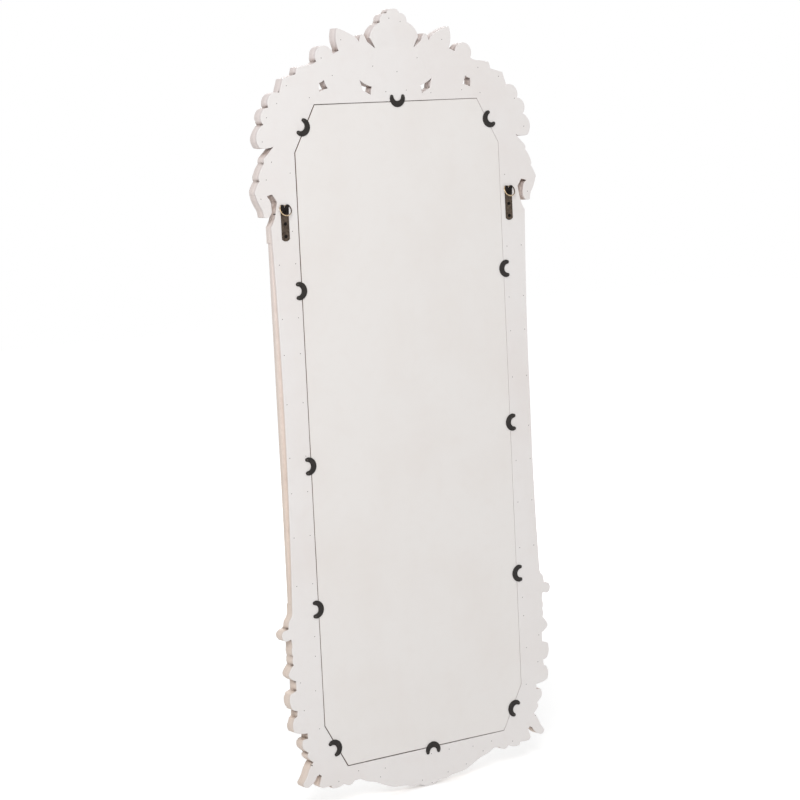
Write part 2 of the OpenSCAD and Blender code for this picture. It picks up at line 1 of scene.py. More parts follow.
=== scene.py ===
"""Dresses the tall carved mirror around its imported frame.

The frame gives the places and the outlines: each carved piece rises inside the outline of its own
solid, and each fitting sits where its solid sits. Lengths are in metres unless a field says
millimetres, in the frame's axes: the front faces -Y, the flat back lies on Y = 0 and Z is up.
Left and right are as seen from the front.
"""

from __future__ import annotations

import json
import logging
import math
from dataclasses import dataclass, field, replace
from enum import Enum

import bpy
import numpy as np
from mathutils import Euler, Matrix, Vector
from mathutils.geometry import delaunay_2d_cdt
from mathutils.kdtree import KDTree

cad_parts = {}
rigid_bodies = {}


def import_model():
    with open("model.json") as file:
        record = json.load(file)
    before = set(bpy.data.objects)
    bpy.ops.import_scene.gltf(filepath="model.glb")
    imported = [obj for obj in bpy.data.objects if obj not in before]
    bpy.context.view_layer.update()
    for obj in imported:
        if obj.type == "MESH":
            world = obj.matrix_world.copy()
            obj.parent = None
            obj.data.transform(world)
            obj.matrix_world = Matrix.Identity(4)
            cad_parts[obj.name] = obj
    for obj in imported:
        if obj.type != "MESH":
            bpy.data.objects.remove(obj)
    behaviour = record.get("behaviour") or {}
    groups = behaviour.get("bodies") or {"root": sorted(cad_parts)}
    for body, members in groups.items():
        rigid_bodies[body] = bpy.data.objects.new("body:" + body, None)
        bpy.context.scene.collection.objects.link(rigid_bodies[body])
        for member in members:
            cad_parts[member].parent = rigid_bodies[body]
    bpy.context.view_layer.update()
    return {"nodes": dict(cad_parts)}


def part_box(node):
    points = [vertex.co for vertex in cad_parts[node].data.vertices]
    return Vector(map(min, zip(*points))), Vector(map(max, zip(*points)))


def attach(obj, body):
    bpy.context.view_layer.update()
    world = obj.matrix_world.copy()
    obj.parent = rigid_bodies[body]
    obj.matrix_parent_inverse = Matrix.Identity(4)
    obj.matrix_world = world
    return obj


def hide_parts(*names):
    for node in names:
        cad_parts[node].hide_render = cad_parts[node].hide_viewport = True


log = logging.getLogger("mirror")

Array = np.ndarray
Thing = bpy.types.Object
Socket = bpy.types.NodeSocket
Pair = tuple[float, float]
Pairs = tuple[Pair, ...]
Floats = tuple[float, ...]
Profile = tuple[tuple[float, float | Array], ...]

MM = 0.001
BODY = "frame"
CARVED = "carved_paint"
# The turn past which a corner of an outline stays sharp
SHARP_TURN = math.radians(25)
# The turns between faces past which an edge is shaded sharp
CARVED_SHADE = math.radians(65)
TURNED_SHADE = math.radians(60)
MOULDED_SHADE = math.radians(50)
PATTERN_SHADE = math.radians(40)
METAL_SHADE = math.radians(35)
FLAT_SHADE = math.radians(32)
# The turn past which a strap's edge is softened
BEVEL_TURN = math.radians(40)
# The strength of the painted shade where walls face each other, and on ledges that look up
CREVICE_SHADE = 0.68
LEDGE_SHADE = 0.9


class Side(Enum):
    """The two halves of the mirror, with the sign of X on each."""

    LEFT = -1
    RIGHT = 1

    @property
    def word(self) -> str:
        """The side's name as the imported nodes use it."""
        return self.name.lower()


# Colour and finish


def srgb(red: float, green: float, blue: float) -> tuple[float, float, float, float]:
    """A screen colour, 0 to 255, as the linear colour that a shader takes."""
    shares = (red / 255, green / 255, blue / 255)
    linear = [c / 12.92 if c <= 0.04045 else ((c + 0.055) / 1.055) ** 2.4 for c in shares]
    return (linear[0], linear[1], linear[2], 1.0)


class Wear(Enum):
    """Patterns of wear, and of mottling in the wash and the painted shade: features in a metre, detail, and
    the noise taken as none and as full.
    """

    WIDE_PATCHES = (4.5, 3.0, 0.45, 0.68)
    SMALL_PATCHES = (38.0, 3.0, 0.5, 0.72)
    WORN_WALL = (24.0, 4.0, 0.45, 0.75)
    WASH = (100.0, 3.0, 0.26, 0.6)
    SOOT = (210.0, 3.0, 0.3, 0.5)
    DULL_SILVER = (3.0, 2.0, 0.5, 0.62)


class Nodes:
    """A node tree under way, with a short call for what is often added."""

    def __init__(self, tree: bpy.types.NodeTree) -> None:
        """Takes the tree that nodes are added to."""
        self.tree = tree

    def put(self, socket: Socket, value: object) -> None:
        """Links a socket to another, or sets it."""
        if isinstance(value, Socket):
            self.tree.links.new(value, socket)
        else:
            socket.default_value = value

    def node(
        self, kind: str, settings: dict[str, object] | None = None, **inputs: object
    ) -> bpy.types.Node:
        """Adds a node, with its settings, and links or sets its inputs by name."""
        made = self.tree.nodes.new(kind)
        for key, value in (settings or {}).items():
            setattr(made, key, value)
        for key, value in inputs.items():
            self.put(next(s for s in made.inputs if s.name.replace(" ", "_") == key and s.enabled), value)
        return made

    def worked(self, operation: str, *values: object) -> Socket:
        """What an operation makes of one or two values."""
        made = self.node("ShaderNodeMath", {"operation": operation})
        for socket, value in zip(made.inputs, values):
            self.put(socket, value)
        return made.outputs[0]

    def times(self, a: object, b: object) -> Socket:
        """The product of two values."""
        return self.worked("MULTIPLY", a, b)

    def span(
        self, value: object, low: float, high: float, top: float = 1.0, bottom: float = 0.0
    ) -> Socket:
        """Maps low and high to bottom and top, and holds the rest to those."""
        made = self.node(
            "ShaderNodeMapRange", Value=value, From_Min=low, From_Max=high, To_Min=bottom, To_Max=top
        )
        return made.outputs["Result"]

    def axis(self, vector: Socket, letter: str) -> Socket:
        """One of a vector's three values."""
        return self.node("ShaderNodeSeparateXYZ", Vector=vector).outputs[letter]


class Shader(Nodes):
    """A material under way, with a short call for each kind of pattern."""

    def __init__(self, name: str) -> None:
        """Starts a material with a plain surface."""
        self.material = bpy.data.materials.new(name)
        self.material.use_nodes = True
        super().__init__(self.material.node_tree)
        self.surface = self.tree.nodes["Principled BSDF"]
        self.place = self.node("ShaderNodeTexCoord").outputs["Object"]

    def attribute(self, name: str) -> Socket:
        """A value painted on the mesh."""
        return self.node("ShaderNodeAttribute", {"attribute_name": name}).outputs["Fac"]

    def noise(self, scale: float, detail: float = 3.0) -> Socket:
        """Soft noise over the object, with scale features in a metre."""
        return self.node("ShaderNodeTexNoise", Vector=self.place, Scale=scale, Detail=detail).outputs["Fac"]

    def wear(self, pattern: Wear, top: float = 1.0) -> Socket:
        """A pattern of wear, from 0 to top."""
        scale, detail, low, high = pattern.value
        return self.span(self.noise(scale, detail), low, high, top)

    def facing(self, flat: float = 0.95, side: float = 0.6) -> Socket:
        """How far the surface turns away from the flat front and back, from 0 to 1."""
        normal = self.node("ShaderNodeTexCoord").outputs["Normal"]
        return self.span(self.worked("ABSOLUTE", self.axis(normal, "Y")), flat, side)

    def height(self) -> Socket:
        """The height above the origin, in metres."""
        return self.axis(self.place, "Z")

    def dots(self, scale: float) -> Socket:
        """The distance to the nearest of scattered points, with scale points in a metre."""
        return self.node("ShaderNodeTexVoronoi", Vector=self.place, Scale=scale).outputs["Distance"]

    def mix(self, share: object, a: object, b: object) -> Socket:
        """A colour between a and b, by the node's colour sockets."""
        made = self.node("ShaderNodeMix", {"data_type": "RGBA"})
        for place, value in ((0, share), (6, a), (7, b)):
            self.put(made.inputs[place], value)
        return made.outputs[2]

    def bump(self, height: Socket, depth: float) -> None:
        """Roughens the surface by a height of up to depth."""
        made = self.node("ShaderNodeBump", Distance=depth, Height=height)
        normal = self.surface.inputs["Normal"]
        if normal.is_linked:
            self.put(made.inputs["Normal"], normal.links[0].from_socket)
        self.put(normal, made.outputs["Normal"])

    def set(self, colour: object, roughness: object, metallic: float = 0.0) -> bpy.types.Material:
        """Sets the surface, and gives the material."""
        self.put(self.surface.inputs["Base Color"], colour)
        self.put(self.surface.inputs["Roughness"], roughness)
        self.put(self.surface.inputs["Metallic"], metallic)
        return self.material


@dataclass(frozen=True)
class Paint:
    """Matt paint on wood: a face, a dustier edge, a brown wash in the hollows, and painted shade in notches,
    slits, crevices and on ledges, with dark lines at seams.

    The edge is yellower near the floor: edge_heights are where its own colour and its low one hold.
    """

    name: str
    face: Floats
    patch: Floats
    edge: Floats
    low_edge: Floats
    # The brown of the wash in carved hollows, and the colour of the painted shade where walls face each other
    # and on ledges
    wash: Floats = srgb(128, 100, 84)
    # The colour of the painted shade in notches and slits, and of the seams' dark lines
    soot: Floats = srgb(84, 64, 52)
    edge_heights: Pair = (1.6, 0.7)
    patch_share: float = 0.5
    small_patch_share: float = 0.35
    worn_share: float = 0.1
    wash_share: float = 0.8
    soot_share: float = 0.95
    brush_scale: float = 260.0
    brush_depth: float = 0.05 * MM
    pit_scale: float = 420.0
    pit_span: Pair = (0.05, 0.6)
    stipple: float = 0.0
    roughness: float = 0.55

    def build(self) -> bpy.types.Material:
        """The paint as a material."""
        shader = Shader(self.name)
        wide = shader.wear(Wear.WIDE_PATCHES, self.patch_share)
        small = shader.wear(Wear.SMALL_PATCHES, self.small_patch_share * self.patch_share)
        colour = shader.mix(small, shader.mix(wide, self.face, self.patch), self.patch)
        edge = shader.mix(shader.span(shader.height(), *self.edge_heights), self.edge, self.low_edge)
        worn = shader.mix(shader.wear(Wear.WORN_WALL, self.worn_share), edge, self.wash)
        colour = shader.mix(shader.attribute("wall"), colour, worn)
        # The brown wash in carved hollows, and painted shade where walls face each other and on ledges that
        # look up
        uneven = shader.wear(Wear.WASH, self.wash_share)
        colour = shader.mix(shader.times(shader.attribute("hollow"), uneven), colour, self.wash)
        # Painted shade in notches and slits, and dark lines at seams
        shade_and_seam_mottle = shader.wear(Wear.SOOT, self.soot_share)
        colour = shader.mix(shader.times(shader.attribute("notch"), shade_and_seam_mottle), colour, self.soot)
        if self.stipple:
            pits = shader.span(shader.dots(self.pit_scale), *self.pit_span)
            shader.bump(shader.times(shader.attribute("ground"), pits), self.stipple)
        shader.bump(shader.noise(self.brush_scale), self.brush_depth)
        return shader.set(colour, self.roughness)


@dataclass(frozen=True)
class Metal:
    """Metal with a darker patina in patches, and painted shade on its sides and where its mesh is marked for
    it.
    """

    name: str
    bright: Floats
    dark: Floats
    # deep is the colour of the painted shade; side is how strongly the sides that turn from the front and
    # back take it
    deep: Floats = srgb(30, 26, 23)
    side: float = 0.5
    metallic: float = 1.0
    roughness: float = 0.35
    patches: float = 120.0
    dark_share: float = 0.8
    patch_detail: float = 4.0
    patch_span: Pair = (0.38, 0.62)
    grain_scale: float = 1400.0
    grain: float = 0.02 * MM
    shine: float = 0.5

    def build(self) -> bpy.types.Material:
        """The metal as a material."""
        shader = Shader(self.name)
        shader.put(shader.surface.inputs["Specular IOR Level"], self.shine)
        patches = shader.noise(self.patches, self.patch_detail)
        share = shader.span(patches, *self.patch_span, self.dark_share)
        shader.bump(shader.noise(self.grain_scale), self.grain)
        colour = shader.mix(share, self.bright, self.dark)
        # Painted shade on the sides that turn away from the front and back
        if self.side:
            colour = shader.mix(shader.times(shader.facing(), self.side), colour, self.deep)
        # Painted shade where the mesh is marked: a strap's fold and tail, and a ring's upper side
        colour = shader.mix(shader.attribute("hollow"), colour, self.deep)
        return shader.set(colour, self.roughness, self.metallic)


@dataclass(frozen=True)
class Silver:
    """Mirror glass with faint spots in its silvering."""

    name: str
    tint: Floats = (0.88, 0.90, 0.90, 1.0)
    spot: Floats = (0.62, 0.64, 0.63, 1.0)
    spot_scale: float = 60.0
    spot_radii: Pair = (0.035, 0.015)
    roughness: float = 0.012

    def build(self) -> bpy.types.Material:
        """The silvering as a material."""
        shader = Shader(self.name)
        spots = shader.span(shader.dots(self.spot_scale), *self.spot_radii)
        spots = shader.times(spots, shader.wear(Wear.DULL_SILVER))
        return shader.set(shader.mix(spots, self.tint, self.spot), self.roughness, 1.0)


@dataclass(frozen=True)
class Finishes:
    """Every finish of the mirror, named after the record's slot that it follows."""

    back: Paint = Paint(
        "back_paint", srgb(236, 232, 230), srgb(229, 221, 217), srgb(229, 220, 218), srgb(228, 214, 203),
        patch_share=0.45, wash_share=0.75,
    )
    # The panel's edge is dark brown: partly the raw edge's own colour, partly painted shade of the gap round
    # it
    panel: Paint = Paint(
        "panel_paint", srgb(236, 232, 229), srgb(230, 223, 218), srgb(96, 62, 42), srgb(96, 62, 42),
        patch_share=0.4,
    )
    carved: Paint = Paint(
        "carved_paint", srgb(238, 234, 228), srgb(233, 221, 212), srgb(230, 220, 217), srgb(229, 213, 201),
        srgb(138, 108, 86), patch_share=0.5, wash_share=0.85, stipple=0.35 * MM,
    )
    glass: Silver = Silver("silvered_glass")
    clips: Metal = Metal(
        "black_steel", srgb(42, 37, 34), srgb(28, 25, 23), metallic=0.2, roughness=0.45, shine=0.36
    )
    nails: Metal = Metal("nail_steel", srgb(74, 70, 66), srgb(40, 37, 35), metallic=0.7, roughness=0.45)
    brads: Metal = Metal("brad_steel", srgb(84, 72, 64), srgb(56, 46, 40), metallic=0.2, roughness=0.65)
    # The straps' sides take the painted shade strongly
    straps: Metal = Metal(
        "bronzed_steel", srgb(92, 79, 68), srgb(60, 49, 41), srgb(26, 20, 17), 0.85, 0.7, 0.45, 180.0
    )
    # The rings' deep colour is their painted shade, laid on by the mesh's marks
    rings: Metal = Metal(
        "ring_brass", srgb(214, 190, 156), srgb(156, 130, 98), srgb(62, 42, 30), 0.0, 0.9, 0.3, 240.0, 0.6
    )
    screws: Metal = Metal(
        "screw_steel", srgb(26, 21, 19), srgb(16, 13, 12), metallic=0.1, roughness=0.6, shine=0.12
    )

    def materials(self) -> dict[str, bpy.types.Material]:
        """Every finish as a material, by its slot."""
        return {finish.name: finish.build() for finish in vars(self).values()}


# Meshes


class MeshMaker:
    """Collects points, faces and painted values, and makes one mesh of them."""

    def __init__(self) -> None:
        """Starts with nothing collected."""
        self.points: list[Array] = []
        self.faces: list[list[int]] = []
        self.paint: dict[str, list[Array]] = {"hollow": [], "wall": [], "ground": [], "notch": []}
        self.count = 0

    def add(self, points: Array, **paint: float | Array) -> Array:
        """Adds points.

        Args:
            points: the new points, one row each.
            paint: painted values, one for all the points or one each.

        Returns:
            The indices of the new points.
        """
        self.points.append(np.asarray(points, float))
        for name, rows in self.paint.items():
            rows.append(np.broadcast_to(np.asarray(paint.get(name, 0.0), float), (len(points),)))
        self.count += len(points)
        return np.arange(self.count - len(points), self.count)

    def join(self, rings: list[Array]) -> None:
        """Joins rings of points, one to the next, with quads that face outwards.

        Args:
            rings: rings of one length from the rear to the front, anticlockwise as seen from the front.
        """
        for rear, front in zip(rings, rings[1:]):
            for k in range(len(rear)):
                n = (k + 1) % len(rear)
                self.faces.append([int(rear[k]), int(rear[n]), int(front[n]), int(front[k])])

    def stack(self, rings: list[Array]) -> None:
        """Joins rings from the rear to the front, and closes both ends."""
        self.join(rings)
        self.faces.append([int(k) for k in rings[0][::-1]])
        self.faces.append([int(k) for k in rings[-1]])

    def build(self, name: str, material: bpy.types.Material, shade: float) -> Thing:
        """Makes the mesh object.

        Args:
            name: the object's name.
            material: what it is finished in.
            shade: the turn between faces past which an edge stays sharp.

        Returns:
            The new object, at the origin.
        """
        mesh = bpy.data.meshes.new(name)
        mesh.from_pydata(np.vstack(self.points).tolist(), [], self.faces)
        for key, rows in self.paint.items():
            layer = mesh.attributes.new(key, "FLOAT", "POINT")
            layer.data.foreach_set("value", np.concatenate(rows).astype(np.float32))
        return placed(name, mesh, material, shade)


def placed(name: str, mesh: bpy.types.Mesh, material: bpy.types.Material, shade: float) -> Thing:
    """Shades a mesh, gives it its material and puts it in the scene."""
    mesh.shade_smooth()
    mesh.set_sharp_from_angle(angle=shade)
    mesh.materials.clear()
    mesh.materials.append(material)
    thing = bpy.data.objects.new(name, mesh)
    bpy.context.scene.collection.objects.link(thing)
    return thing


def evaluated(thing: Thing) -> Thing:
    """Turns an object's modifiers into plain mesh."""
    graph = bpy.context.evaluated_depsgraph_get()
    mesh = bpy.data.meshes.new_from_object(
        thing.evaluated_get(graph), preserve_all_data_layers=True, depsgraph=graph
    )
    thing.modifiers.clear()
    thing.data = mesh
    return thing


# Outlines


class PackedNode:
    """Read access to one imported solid: its outlines at a level and its separate bodies."""

    def __init__(self, thing: Thing) -> None:
        """Merges a copy of the node's loose triangles.

        Args:
            thing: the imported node.
        """
        mesh = thing.data
        mesh.calc_loop_triangles()
        points = np.empty(len(mesh.vertices) * 3)
        mesh.vertices.foreach_get("co", points)
        corners = np.empty(len(mesh.loop_triangles) * 3, np.int64)
        mesh.loop_triangles.foreach_get("vertices", corners)
        steps = np.round(points.reshape(-1, 3) * 1e6).astype(np.int64)
        keys, index = np.unique(steps, axis=0, return_inverse=True)
        triangles = index.reshape(-1)[corners].reshape(-1, 3)
        a, b, c = triangles.T
        self.points = keys * 1e-6
        self.triangles = triangles[(a != b) & (b != c) & (c != a)]

    def outlines(
        self, height: float, least: float = 60 * MM * MM, slack: float = 0.02 * MM
    ) -> list[Array]:
        """The outlines of the flat face at a height in Y.

        Args:
            height: the face's Y.
            least: the smallest area kept, which leaves the nail and screw holes out.
            slack: how far a point of the face may lie from the height.

        Returns:
            Loops of points in X and Z, the largest first, with the solid on their left.
        """
        flat = (np.abs(self.points[:, 1] - height) < slack)[self.triangles].all(axis=1)
        edges = self.triangles[flat][:, [0, 1, 1, 2, 2, 0]].reshape(-1, 2).tolist()
        pairs = {(a, b) for a, b in edges}
        after = {a: b for a, b in pairs if (b, a) not in pairs}
        loops = []
        while after:
            start, here = after.popitem()
            chain = [start]
            while here != start:
                chain.append(here)
                here = after.pop(here)
            loops.append(self.points[chain][:, [0, 2]])
        loops = [straightened(p) for p in loops if abs(area(p)) > least]
        loops.sort(key=lambda p: -abs(area(p)))
        return [p[::-1] for p in loops] if loops and area(loops[0]) < 0 else loops

    def bodies(self) -> list[Array]:
        """The points of each separate solid in the node."""
        parent = list(range(len(self.points)))

        def root(k: int) -> int:
            """The first index of k's solid."""
            while parent[k] != k:
                parent[k] = parent[parent[k]]
                k = parent[k]
            return k

        for a, b, c in self.triangles.tolist():
            parent[root(a)] = root(c)
            parent[root(b)] = root(c)
        labels = np.array([root(k) for k in range(len(parent))])
        return [self.points[labels == k] for k in np.unique(labels)]


def area(loop: Array) -> float:
    """Signed area of a loop, positive where it runs anticlockwise as seen from the front."""
    after = np.roll(loop, -1, axis=0)
    return float((loop[:, 0] * after[:, 1] - after[:, 0] * loop[:, 1]).sum() / 2)


def turns(loop: Array) -> Array:
    """The turn at each point of a loop, negative in a notch."""
    ahead = np.roll(loop, -1, axis=0) - loop
    behind = loop - np.roll(loop, 1, axis=0)
    cross = behind[:, 0] * ahead[:, 1] - behind[:, 1] * ahead[:, 0]
    return np.arctan2(cross, (behind * ahead).sum(axis=1))


def straightened(loop: Array) -> Array:
    """The loop without the points that lie on a straight run."""
    return loop[np.abs(turns(loop)) > 1e-3]


def rounded(loop: Array, step: float) -> Array:
    """A loop with its faceted arcs made smooth and its corners kept.

    Args:
        loop: the loop.
        step: the most that two points of the result lie apart.

    Returns:
        The finer loop, inside the first one's box.
    """
    after = np.roll(loop, -1, axis=0)
    lengths = np.hypot(*(after - loop).T)
    ways = (after - loop) / lengths[:, None]
    soft = np.abs(turns(loop)) < SHARP_TURN
    middle = ways + np.roll(ways, 1, axis=0)
    middle /= np.maximum(np.hypot(*middle.T), 1e-9)[:, None]
    runs = []
    for k in range(len(loop)):
        n = (k + 1) % len(loop)
        way, first, last = ways[k], middle[k], middle[n]
        if not soft[k]:
            first = 2 * (way @ last) * way - last if soft[n] else way
        if not soft[n]:
            last = 2 * (way @ first) * way - first if soft[k] else way
        pieces = max(1, math.ceil(lengths[k] / step - 1e-6))
        t = (np.arange(pieces) / pieces)[:, None]
        runs.append(
            loop[k] * (2 * t**3 - 3 * t**2 + 1)
            + loop[n] * (3 * t**2 - 2 * t**3)
            + lengths[k] * (first * (t**3 - 2 * t**2 + t) + last * (t**3 - t**2))
        )
    return np.clip(np.vstack(runs), loop.min(axis=0), loop.max(axis=0))


def inward(loop: Array) -> Array:
    """The unit direction into the solid at each point of a loop."""
    along = np.roll(loop, -1, axis=0) - np.roll(loop, 1, axis=0)
    along /= np.maximum(np.hypot(*along.T), 1e-9)[:, None]
    return np.c_[-along[:, 1], along[:, 0]]


def circle(steps: int) -> Array:
    """Points round a circle of radius 1."""
    around = np.linspace(0, 2 * math.pi, steps + 1)[:-1]
    return np.c_[np.cos(around), np.sin(around)]


def smoothed(values: Array, rounds: int) -> Array:
    """Values round a loop, each eased towards its neighbours."""
    for _ in range(rounds):
        values = (np.roll(values, 1, axis=0) + 2 * values + np.roll(values, -1, axis=0)) / 4
    return values


def notch_marks(loop: Array, reach: float = 3.6 * MM, full_turn: float = 1.3) -> Array:
    """How deep in a notch each point of a loop lies, from 0 to 1."""
    turn = turns(loop)
    marks = np.zeros(len(loop))
    for k in np.flatnonzero(turn < -SHARP_TURN):
        gap = np.hypot(*(loop - loop[k]).T)
        marks = np.maximum(marks, min(1.0, -turn[k] / full_turn) * np.exp(-((gap / reach) ** 2)))
    return marks


def crevice_marks(loop: Array, width: float = 15 * MM) -> Array:
    """How near each point of a loop faces another stretch of it, from 0 to 1."""
    across = Shore([loop]).distance(loop - inward(loop) * width)
    return np.clip(1 - across / width, 0, 1)


def slit_marks(loop: Array, width: float = 7 * MM) -> Array:
    """How narrow the slit before each point of a loop is, from 0 where it is wide to 1."""
    solid = area(loop) > 0
    marks = np.zeros(len(loop))
    for share in (1.0, 0.8, 0.6, 0.4, 0.2):
        across = inside(loop - inward(loop) * share * width, [loop]) == solid
        marks[across] = 1.2 - share
    return smoothed(marks, 4)


def wall_marks(loop: Array) -> tuple[Array, Array]:
    """The painted shade at each point of a wall, from 0 to 1: that of notches and slits, and that where walls
    face each other.
    """
    return np.maximum(notch_marks(loop), slit_marks(loop)), CREVICE_SHADE * crevice_marks(loop)


def scalloped(loop: Array, pitch: float, depth: float) -> Array:
    """A fine loop with its long stretches cut into lobes.

    Args:
        loop: the loop.
        pitch: about how wide a lobe is.
        depth: how far the nicks between lobes reach in.

    Returns:
        The new loop, inside the first.
    """
    corners = np.flatnonzero(np.abs(turns(loop)) > SHARP_TURN)
    if not len(corners):
        corners = np.array([0])
    made = loop.copy()
    way = inward(loop)
    for a, b in zip(corners, [*corners[1:], corners[0] + len(loop)]):
        run = np.arange(a, b + 1) % len(loop)
        steps = np.hypot(*np.diff(loop[run], axis=0).T)
        lobes = round(steps.sum() / pitch)
        if lobes < 2:
            continue
        share = np.concatenate([[0], np.cumsum(steps)]) / steps.sum()
        fade = np.clip(2 * lobes * np.minimum(share, 1 - share), 0, 1)
        cut = depth * fade * (1 - np.abs(np.sin(math.pi * lobes * share))) ** 1.5
        made[run[1:-1]] += way[run[1:-1]] * cut[1:-1, None]
    return made


def level(loop: Array, y: float | Array) -> Array:
    """Points in X and Z at a height in Y."""
    return np.c_[loop[:, 0], np.broadcast_to(y, (len(loop),)), loop[:, 1]]


class Shore:
    """Tells how far points lie from a set of outlines."""

    def __init__(self, loops: list[Array]) -> None:
        """Puts the outlines' points in a tree."""
        self.here = np.vstack(loops)
        self.before = np.vstack([np.roll(p, 1, axis=0) for p in loops])
        self.after = np.vstack([np.roll(p, -1, axis=0) for p in loops])
        self.tree = KDTree(len(self.here))
        for k, (x, z) in enumerate(self.here.tolist()):
            self.tree.insert((x, z, 0.0), k)
        self.tree.balance()

    def distance(self, points: Array) -> Array:
        """The distance from each point to the nearest outline."""
        find = self.tree.find
        near = np.fromiter((find((x, z, 0.0))[1] for x, z in points.tolist()), np.int64, len(points))
        here = self.here[near]
        before = to_segment(points, here, self.before[near])
        return np.minimum(before, to_segment(points, here, self.after[near]))


def to_segment(points: Array, a: Array, b: Array) -> Array:
    """The distance from each point to its own segment."""
    run = b - a
    t = ((points - a) * run).sum(axis=1) / np.maximum((run * run).sum(axis=1), 1e-18)
    return np.hypot(*(points - a - run * np.clip(t, 0, 1)[:, None]).T)


def inside(points: Array, loops: list[Array], batch: int = 4000) -> Array:
    """Tells which points lie inside loops, by the even and odd rule.

    Args:
        points: places in X and Z.
        loops: the loops.
        batch: how many points are handled at a time.

    Returns:
        True for each point inside.
    """
    odd = np.zeros(len(points), bool)
    for loop in loops:
        a, b = loop, np.roll(loop, -1, axis=0)
        rise = np.where(b[:, 1] == a[:, 1], 1e-12, b[:, 1] - a[:, 1])
        for k in range(0, len(points), batch):
            x, z = points[k : k + batch, 0:1], points[k : k + batch, 1:2]
            spans = (a[:, 1] > z) != (b[:, 1] > z)
            left = x < a[:, 0] + (b[:, 0] - a[:, 0]) * (z - a[:, 1]) / rise
            odd[k : k + batch] ^= (spans & left).sum(axis=1) % 2 == 1
    return odd


def grid_inside(loops: list[Array], step: float) -> Array:
    """Points of a grid of even triangles inside loops.

    Args:
        loops: the loops.
        step: how far apart the points are.

    Returns:
        The points, in X and Z.
    """
    a = np.vstack(loops)
    b = np.vstack([np.roll(p, -1, axis=0) for p in loops])
    row_step = step * math.sqrt(3) / 2
    rows = []
    for r in range(math.ceil(a[:, 1].min() / row_step), math.floor(a[:, 1].max() / row_step) + 1):
        z = r * row_step + 1e-7
        hit = (a[:, 1] > z) != (b[:, 1] > z)
        ends = np.sort(a[hit, 0] + (b[hit, 0] - a[hit, 0]) * (z - a[hit, 1]) / (b[hit, 1] - a[hit, 1]))
        shift = (r % 2) * step / 2
        for low, high in zip(ends[::2], ends[1::2]):
            places = np.arange(math.ceil((low - shift) / step), math.floor((high - shift) / step) + 1)
            rows.append(np.c_[places * step + shift, np.full(len(places), z)])
    return np.vstack(rows)


def spread(points: Array, least: float) -> Array:
    """The points without those that share a cell of the given size with one before them."""
    cells = np.round(points / least).astype(np.int64)
    first = np.unique(cells, axis=0, return_index=True)[1]
    return points[np.sort(first)]


def inner_row(loops: list[Array], own: Shore, inset: float, nearest: float, least: float) -> Array:
    """Points along loops at a distance inside them.

    Args:
        loops: the loops.
        own: the distance from them.
        inset: how far inside the row runs.
        nearest: the share of the inset that a point keeps from every loop, or it is left out.
        least: how far apart the points are at least.

    Returns:
        The points, in X and Z.
    """
    row = np.vstack([p + inward(p) * inset for p in loops])
    row = row[inside(row, loops)]
    return spread(row[own.distance(row) > nearest * inset], least)


def triangulated(loops: list[Array], free: Array | None = None) -> Array:
    """Triangles over the loops' points and the free points inside them.

    Args:
        loops: outlines and holes, whose edges are kept.
        free: more points, all inside.

    Returns:
        One row of three indices for each triangle, anticlockwise as seen from the front.
    """
    rim_count = sum(len(p) for p in loops)
    points = np.vstack(loops if free is None else [*loops, free])
    edges, start = [], 0
    for loop in loops:
        edges += [(start + k, start + (k + 1) % len(loop)) for k in range(len(loop))]
        start += len(loop)
    made = delaunay_2d_cdt([Vector(p) for p in (points / MM).tolist()], edges, [], 0, 1e-4)
    source = np.array([o[0] if o else -1 for o in made[3]])
    faces = source[np.array(made[2])]
    return within(faces[(faces >= 0).all(axis=1)], np.array(edges), rim_count)


def within(faces: Array, rim: Array, rim_count: int, rounds: int = 60) -> Array:
    """The faces that lie on the left of the rim's edges.

    Args:
        faces: triangles, anticlockwise.
        rim: the rim's edges, each from one point to the next.
        rim_count: how many points the rim has. The points after those all lie inside.
        rounds: how many faces deep the search goes.

    Returns:
        The faces inside, found from face to face across the edges that aren't the rim's.
    """
    count = int(faces.max()) + 1
    sides = faces[:, [0, 1, 1, 2, 2, 0]].reshape(-1, 2)
    owner = np.repeat(np.arange(len(faces)), 3)
    ahead = np.isin(sides[:, 0] * count + sides[:, 1], rim[:, 0] * count + rim[:, 1])
    behind = np.isin(sides[:, 1] * count + sides[:, 0], rim[:, 0] * count + rim[:, 1])
    state = np.where((faces >= rim_count).any(axis=1), 1, 0)
    state[owner[behind]] = -1
    state[owner[ahead]] = 1
    free = ~(ahead | behind)
    key = (np.sort(sides[free], axis=1) * [count, 1]).sum(axis=1)
    order = np.argsort(key, kind="stable")
    pairs = order[:-1][key[order][:-1] == key[order][1:]], order[1:][key[order][:-1] == key[order][1:]]
    one, two = (owner[free][k] for k in pairs)
    for _ in range(rounds):
        state[one] = np.where(state[one] == 0, state[two], state[one])
        state[two] = np.where(state[two] == 0, state[one], state[two])
    return faces[state > 0]


def hollows(faces: Array, rise: Array, rounds: int = 9) -> Array:
    """How far each point of a carved face lies below its surroundings, from 0 to 1."""
    a, b = np.vstack([faces[:, [0, 1]], faces[:, [1, 2]], faces[:, [2, 0]]]).T
    count = len(rise)
    weight = np.maximum(np.bincount(a, minlength=count) + np.bincount(b, minlength=count), 1)
    mean = rise.copy()
    for _ in range(rounds):
        total = np.bincount(a, mean[b], count) + np.bincount(b, mean[a], count)
        mean = total / weight
    return np.clip((mean - rise) / MM, 0, 1)


# Carving


